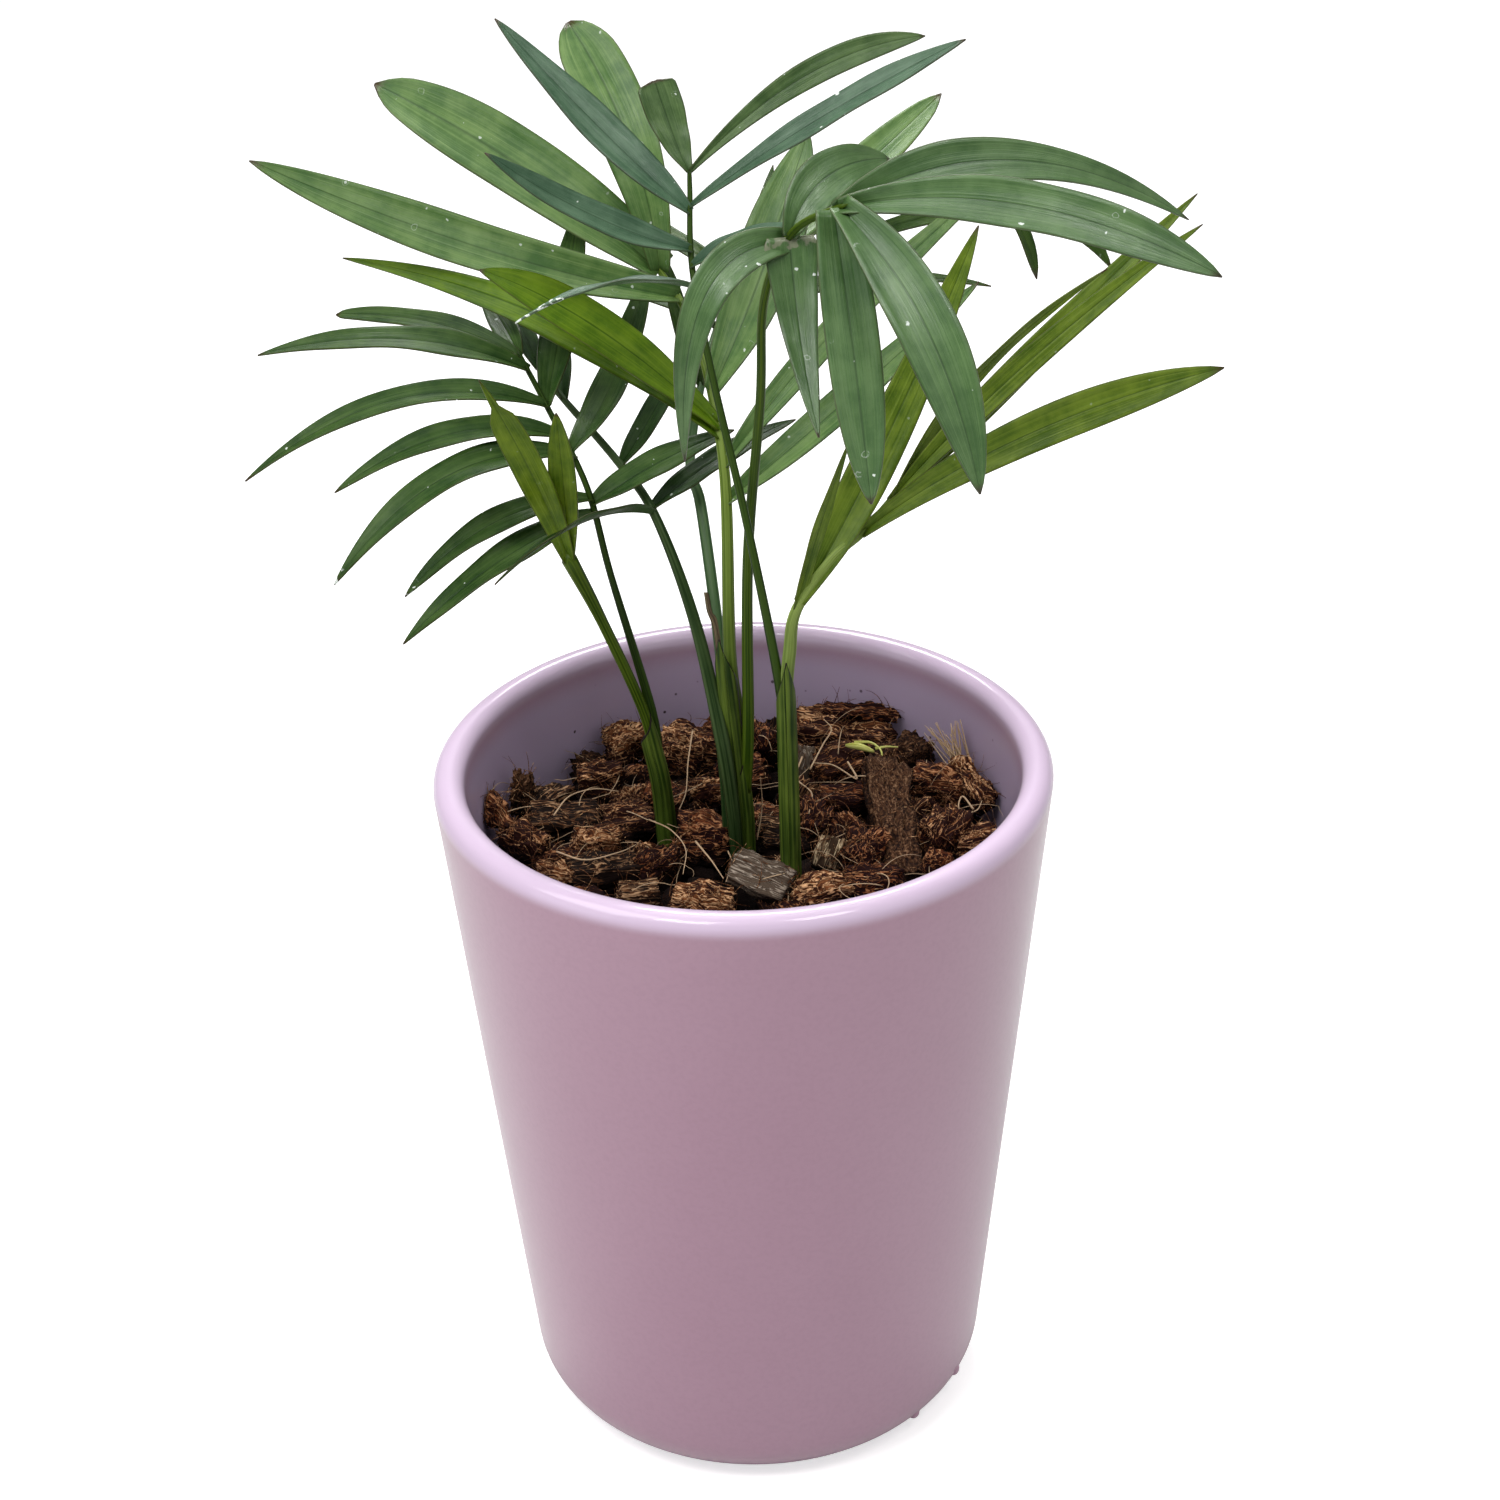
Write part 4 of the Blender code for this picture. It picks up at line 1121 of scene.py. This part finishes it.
def make_fuzz(rng, roots):
    """Short fibres curled over the chips."""
    bm = bmesh.new()
    grain, shade = husk_layers(bm)
    for start, out in rng.sample(roots, FUZZ_COUNT):
        heading = Vector([rng.gauss(0.0, 1.0) for _ in range(3)])
        heading = (heading - out * heading.dot(out)).normalized()
        aside = heading.cross(out)
        length = rng.uniform(1.6, 5.6)
        bow = rng.gauss(0.0, 0.42)
        rise = rng.uniform(0.02, 0.34) if rng.random() < 0.86 else rng.uniform(0.4, 0.9)
        path = []
        for t in (0.0, 0.25, 0.5, 0.75, 1.0):
            curl = aside * (length * bow * t * t) + out * (length * rise * t * (1.3 - t))
            path.append(start + heading * (length * t) + curl)
        made = tube(bm, path, thinning(rng.uniform(0.05, 0.13), 0.6), 3)
        tint = rng.gauss(0.0, 1.0)
        for vert in made:
            vert[grain] = vert.co.copy()
            vert[shade] = tint
    brown = husk_shade("brown_fibre", 0.2, 0.1, 0.7)
    piece = finish_piece("husk_fuzz", bm, [brown], merge=FIBRE_MERGE)
    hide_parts("husk_fill")


def make_threads(rng, roots):
    """Long pale threads across the chips, loose ones, and the fan at the wall."""
    bm = bmesh.new()
    for points in THREADS:
        size = rng.uniform(0.16, 0.24)
        tube(bm, smooth_path(points, 8), thinning(size, 0.55), 6, front=THREAD_FRONT)
    for root, _ in rng.sample(roots, THREAD_COUNT):
        start = root.copy()
        turn = rng.uniform(0.0, math.tau)
        heading = Vector((math.cos(turn), math.sin(turn), rng.uniform(0.0, 0.55)))
        length = rng.uniform(6.0, 18.0)
        bend = rng.gauss(0.0, 1.6)
        path = []
        for _ in range(THREAD_STEPS + 1):
            path.append(start.copy())
            start += heading * (length / THREAD_STEPS)
            heading.rotate(Euler((0.0, 0.0, bend / THREAD_STEPS)))
            heading.z -= 0.10
            if start.z < FILL_TOP + 4.6:
                heading.z = max(heading.z, rng.uniform(0.0, 0.25))
            keep_inside(start, 1.0)
        tube(bm, path, thinning(rng.uniform(0.07, 0.15), 0.6), 4, front=THREAD_FRONT)
    for _ in range(FAN_COUNT):
        foot = Vector(FAN_FOOT) + uniforms(rng, (-2.0, 2.0), (-1.5, 1.5)).to_3d()
        tip = Vector(FAN_TIP) + uniforms(rng, (-4.0, 4.0), (-1.5, 1.5), (-3.0, 1.0))
        bowed = foot.lerp(tip, 0.5) + uniforms(rng, *[(-0.6, 0.6)] * 3)
        size = rng.uniform(0.12, 0.26)
        tube(bm, smooth_path((foot, bowed, tip), 5), thinning(size, 0.6), 4)
    pale = husk_shade("pale_fibre", 0.2, 0.1, 0.55)
    piece = finish_piece("husk_threads", bm, [pale], merge=FIBRE_MERGE)
    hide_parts("husk_fill")


def make_fibres(pieces):
    """Loose fibres, rooted where the chips face up."""
    roots = []
    for piece in pieces:
        for vert in piece.data.vertices:
            if vert.normal.z > -0.1 and vert.co.z > (FILL_TOP + 1.2) * MM:
                roots.append((vert.co / MM, vert.normal.copy()))
    rng = random.Random(FIBRE_SEED)
    make_fuzz(rng, roots)
    make_threads(rng, roots)


def make_sprout():
    """The small yellow-green sprout that lies among the chips."""
    bm = bmesh.new()
    layer = bm.verts.layers.float_vector.new("blade")

    def body_radius(t, angle):
        return 0.75 * math.sin(math.pi * (0.06 + 0.9 * t)) ** 0.6

    tube(bm, smooth_path(SPROUT, 8), body_radius, 10, layer=layer)
    for points in FORKS:
        tube(bm, smooth_path(points, 8), thinning(0.34, 0.6), 6, layer=layer)
    shades = [stalk_shade("sprout_green")]
    piece = finish_piece("sprout", bm, shades, merge=FIBRE_MERGE)
    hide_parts("husk_fill")


# Stems and fronds


def make_sheaths():
    """Leaf sheaths wrapped one in another, each an open tube with a slanted, pointed mouth."""
    shades = [stalk_shade("sheath_green"), stalk_shade("sheath_dark")]
    for stem, rows in SHEATHS.items():
        bm = bmesh.new()
        layer = bm.verts.layers.float_vector.new("blade")
        margin = bm.verts.layers.float.new("margin")
        for number, (points, low, high, tip_turn, rise, shade_index) in enumerate(rows):
            path = smooth_path(points, STALK_STEPS)
            length = sum((b - a).length for a, b in zip(path, path[1:]))
            lean = (path[-1] - path[-2]).normalized()
            first = len(bm.faces)

            def put(vert, t, s):
                angle = math.tau * s
                away = abs((math.degrees(angle) - tip_turn + 180.0) % 360.0 - 180.0) / 180.0
                top = length + rise * (1.0 - away) ** 1.5
                run = t * top
                middle = point_along(path, run)
                if run > length:
                    middle = path[-1] + lean * (run - length)
                size = low + (high - low) * min(1.0, run / length)
                past = max(0.0, run - length) / rise
                size *= 1.0 - 0.35 * past ** 2
                size += 0.035 * math.cos(angle * 13.0) + 0.22 * (s - 0.5)
                vert.co = middle + Vector((-math.sin(angle), -math.cos(angle), 0.0)) * size
                vert[layer] = Vector((s * 2.0 - 1.0, run * 0.06, number * 0.37))
                vert[margin] = max(0.0, 1.0 - (top - run) / 1.0)

            sheet(bm, 56, 48, put)
            bm.faces.ensure_lookup_table()
            for face in bm.faces[first:]:
                face.material_index = shade_index
        name = stem.replace("stem", "sheath")
        piece = finish_piece(name, bm, shades, merge=SHEET_MERGE)
        thicken(piece, SHEATH_THICKNESS)
        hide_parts(stem)


def make_dry_edge():
    """The thin dry margin of a sheath, curled off beside the back frond's stalk."""
    path = smooth_path(DRY_MARGIN, 8)
    last = len(path) - 1
    bm = bmesh.new()
    layer = bm.verts.layers.float_vector.new("blade")

    def put(vert, t, s):
        width = 0.30 + 0.85 * math.sin(math.pi * min(1.0, 0.15 + 0.85 * t)) ** 0.8
        curl = 0.35 * math.sin(t * 21.0) * s
        forward = curl * 0.5 - 0.25 - 0.5 * s * (1.0 - s)
        vert.co = path[round(t * last)] + Vector((width * s, forward, curl))
        vert[layer] = Vector((s * 2.0 - 1.0, t * 2.0, 0.9))

    sheet(bm, last, 8, put)
    shades = [stalk_shade("dry_edge")]
    piece = finish_piece("dry_margin", bm, shades, merge=SHEET_MERGE)
    thicken(piece, DRY_MARGIN_THICKNESS)
    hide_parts("stem_middle")


def bell(offset, spread):
    """A soft bump, 1 in the middle."""
    return math.exp(-((offset / spread) ** 2))


def blade_width(t, form):
    """Share of the full width at t from root to tip."""
    if t < form["widest"]:
        return form["root"] + (1.0 - form["root"]) * math.sin(math.pi / 2.0 * t / form["widest"])
    past = min(1.0, (t - form["widest"]) / (1.0 - form["widest"]))
    width = form["tip"] + (1.0 - form["tip"]) * (1.0 - past ** form["full"]) ** SHOULDER
    if form["tip"] > 0.1 and t > form["blunt"]:
        rounding = (t - form["blunt"]) / (1.0 - form["blunt"])
        width *= math.sqrt(max(0.0, 1.0 - 0.98 * rounding ** 2))
    if form["tail"]:
        start, share = form["tail"]
        shrink = min(1.0, max(0.0, (t - start) / 0.06))
        width *= 1.0 - (1.0 - share) * shrink
    return width


def add_blade(bm, face_way, root, row, number):
    """One leaf blade: arched, creased along its midrib and pleated, with a wavy edge."""
    place, reach, arch, width, roll, special = row
    form = {**BLADE_FORM, **special}
    blade_layer = bm.verts.layers.float_vector["blade"]
    scar_layer = bm.verts.layers.float["scar"]
    fleck_layer = bm.verts.layers.float["flecks"]
    reach = Vector(reach)
    rng = random.Random(number)
    phase = rng.uniform(0.0, math.tau)
    ripple = rng.uniform(1.6, 2.8)
    twist = form["twist"] + rng.uniform(-6.0, 6.0)
    across = reach.cross(Vector((0, 0, 1))).normalized()
    lift = across.cross(reach).normalized()
    middle = root + reach * form["peak"] + lift * (2.0 * arch)
    end = root + reach

    def put(vert, t, s):
        side = -(s * 2.0 - 1.0)
        side = math.copysign(abs(side) ** 1.25, side)
        spot = root * (1 - t) ** 2 + middle * (2 * t * (1 - t)) + end * t * t
        along = ((middle - root) * (1 - t) + (end - middle) * t).normalized()
        over = along.cross(Vector(face_way)).normalized()
        over.rotate(Matrix.Rotation(math.radians(roll + twist * t), 3, along))
        up = over.cross(along)
        half = blade_width(t, form) * width / 2.0
        pleat = form["fold"] + form["cup"] * (1.0 - t) ** 7
        height = pleat * half * abs(side)
        height -= BLADE_BELLY * half * math.sin(math.pi * abs(side))
        height += SIDE_RIDGE * bell(abs(side) - 0.5, 0.16) * min(1.0, half / 3.0)
        height -= MIDRIB_GROOVE * bell(side, 0.08) * min(1.0, half / 2.0)
        wave = math.sin(phase + side * 1.3 + math.tau * ripple * t) * math.sin(math.pi * t)
        height += form["wave"] * side * side * wave
        vert.co = spot + over * (side * half) + up * height
        vert[blade_layer] = Vector((side, t, number * 0.173))
        vert[scar_layer] = form["scar"]
        vert[fleck_layer] = 1.0 if form["flecks"] and t > form["flecks"] else 0.0

    return sheet(bm, BLADE_ALONG, BLADE_ACROSS, put)


def make_frond(name, stem, foot, stalk, radii, face, blades, clasp=None):
    """A frond's blades as one piece and its stalk as another."""
    slot, greens, stalk_green = FROND_GREENS[name]
    node_name = "spear_left" if name == "spear" else "frond_" + name
    stem_top = Vector(STEMS[stem][1])
    start = Vector((*foot, stem_top.z + STALK_RISE))
    inner = start.lerp(stem_top, 0.4) - Vector((0.0, 0.0, STALK_DEPTH))
    path = smooth_path((start, *stalk), STALK_STEPS)
    bm = bmesh.new()
    bm.verts.layers.float_vector.new("blade")
    bm.verts.layers.float.new("scar")
    bm.verts.layers.float.new("flecks")
    base = name_number(name)
    for number, row in enumerate(blades):
        first = len(bm.faces)
        add_blade(bm, face, point_along(path, row[0]), row, base + number)
        bm.faces.ensure_lookup_table()
        for leaf in bm.faces[first:]:
            leaf.material_index = 2 * row[5].get("tone", 0)
    shades = [side for green in greens for side in leaf_pair(green)]
    leaves = finish_piece(name + "_blades", bm, shades, merge=SHEET_MERGE, recalculate=False)
    thicken(leaves, BLADE_THICKNESS, 1)
    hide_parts(node_name)

    whole = smooth_path((*(clasp or (inner,)), start, *stalk), STALK_STEPS)
    bm = bmesh.new()
    layer = bm.verts.layers.float_vector.new("blade")

    def radius_at(t, angle):
        step = t * (len(radii) - 1)
        lower = min(int(step), len(radii) - 2)
        size = radii[lower] + (radii[lower + 1] - radii[lower]) * (step - lower)
        groove = bell(math.sin(angle / 2.0), 0.3)
        end = min(1.0, (1.0 - t) * 40.0)
        return size * (1.0 - 0.2 * groove) * end

    tube(bm, whole, radius_at, STALK_ROUND, number=base * 0.31, layer=layer)
    rib = finish_piece(name + "_stalk", bm, [stalk_shade(stalk_green)], merge=FIBRE_MERGE)
    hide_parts(node_name)


def name_number(name):
    """A whole number from a name, the same on every run."""
    return sum(ord(letter) * (place + 1) for place, letter in enumerate(name)) % 97


# Materials

leaf_group = leaf_skin()
stalk_group = stalk_skin()
husk_group = husk_skin()
glaze = material(
    "mauve_glaze", glaze_skin(), {}, 0.12, 0.3,
    Coat_Weight=0.55, Coat_Roughness=0.07, Specular_IOR_Level=0.2,
)


def colours(labels, values):
    """Colours by the names of their sockets."""
    return {label: (*value, 1) for label, value in zip(labels, values)}


def husk_shade(name, bump=1.0, distance=0.9, rough=0.88):
    """Husk in one of the tones of the table."""
    *tones, curl, grit = HUSK_TONES[name]
    values = {**colours(("Dark", "Rust", "Tan"), tones), "Curl": curl, "Grit": grit}
    return material(name, husk_group, values, bump, distance, rough=rough, Specular_IOR_Level=0.12)


def leaf_pair(name):
    """Upper and lower side of a blade: the lower one is paler and duller."""
    *greens, marks, gloss = LEAF_GREENS[name]
    underside = Vector(UNDERSIDE_GREEN)
    pale = [Vector(green).lerp(underside, UNDERSIDE_SHARE) for green in greens]
    labels = ("Deep", "Fresh", "Vein")
    # The upper side gets painted shade in its crease; the lower side's negative amount makes its
    # midrib paler
    upper = {**colours(labels, greens), "Marks": marks, "Crease": 0.75}
    lower = {**colours(labels, pale), "Marks": 0.0, "Crease": -0.4}
    return [
        material(name, leaf_group, upper, 0.45, 0.22, Specular_IOR_Level=gloss),
        material(name + "_under", leaf_group, lower, 0.6, 0.25, Specular_IOR_Level=0.5 * gloss),
    ]


def stalk_shade(name):
    """A stalk or a sheath in one of the greens of the table."""
    *greens, ribs, foot_darkening = STALK_GREENS[name]
    values = {**colours(("Deep", "Fresh"), greens), "Ribs": ribs, "Foot Darkening": foot_darkening}
    return material(name, stalk_group, values, 0.4, 0.25, Specular_IOR_Level=0.15)


# Stage


def light(name, place, aim, size, energy):
    """A square soft light aimed at a point."""
    data = bpy.data.lights.new(name, "AREA")
    data.size = size
    data.energy = energy
    lamp = bpy.data.objects.new(name, data)
    lamp.location = place
    lamp.rotation_euler = (Vector(aim) - Vector(place)).to_track_quat("-Z", "Y").to_euler()
    bpy.context.scene.collection.objects.link(lamp)


def make_stage():
    """Pale floor, soft light and the camera at the photograph's angle."""
    bm = bmesh.new()
    bmesh.ops.create_grid(bm, x_segments=1, y_segments=1, size=FLOOR_HALF)
    mesh = bpy.data.meshes.new("floor")
    bm.to_mesh(mesh)
    bm.free()
    pale = bpy.data.materials.new("pale_floor")
    pale.use_nodes = True
    shader = pale.node_tree.nodes["Principled BSDF"]
    shader.inputs["Base Color"].default_value = FLOOR_SHADE
    shader.inputs["Roughness"].default_value = 0.7
    shader.inputs["Emission Color"].default_value = (1, 1, 1, 1)
    seen = node(pale.node_tree, "LightPath").outputs["Is Camera Ray"]
    lifted = times(pale.node_tree, seen, FLOOR_LIFT)
    pale.node_tree.links.new(lifted, shader.inputs["Emission Strength"])
    mesh.materials.append(pale)
    floor = bpy.data.objects.new("floor", mesh)
    bpy.context.scene.collection.objects.link(floor)
    world = bpy.data.worlds.new("soft_room")
    world.use_nodes = True
    sky = world.node_tree.nodes["Background"].inputs
    sky["Color"].default_value = (1, 1, 1, 1)
    seen = node(world.node_tree, "LightPath").outputs["Is Camera Ray"]
    strength = maths(world.node_tree, "MULTIPLY_ADD", seen, 1.0 - ROOM_LIGHT, ROOM_LIGHT)
    world.node_tree.links.new(strength, sky["Strength"])
    bpy.context.scene.world = world
    bpy.context.scene.view_settings.view_transform = "Standard"
    for name, row in LIGHTS.items():
        light(name, *row)
    data = bpy.data.cameras.new("camera")
    data.sensor_width = CAMERA_SENSOR
    data.lens = CAMERA_LENS
    camera = bpy.data.objects.new("camera", data)
    camera.location = Vector(CAMERA_PLACE) * MM
    camera.rotation_euler = [math.radians(angle) for angle in CAMERA_TURN]
    bpy.context.scene.collection.objects.link(camera)
    bpy.context.scene.camera = camera


make_pot()
make_bed()
make_fibres(make_chips())
make_sprout()
make_sheaths()
make_dry_edge()
for name, shape in FRONDS.items():
    make_frond(name, **shape)
make_stage()
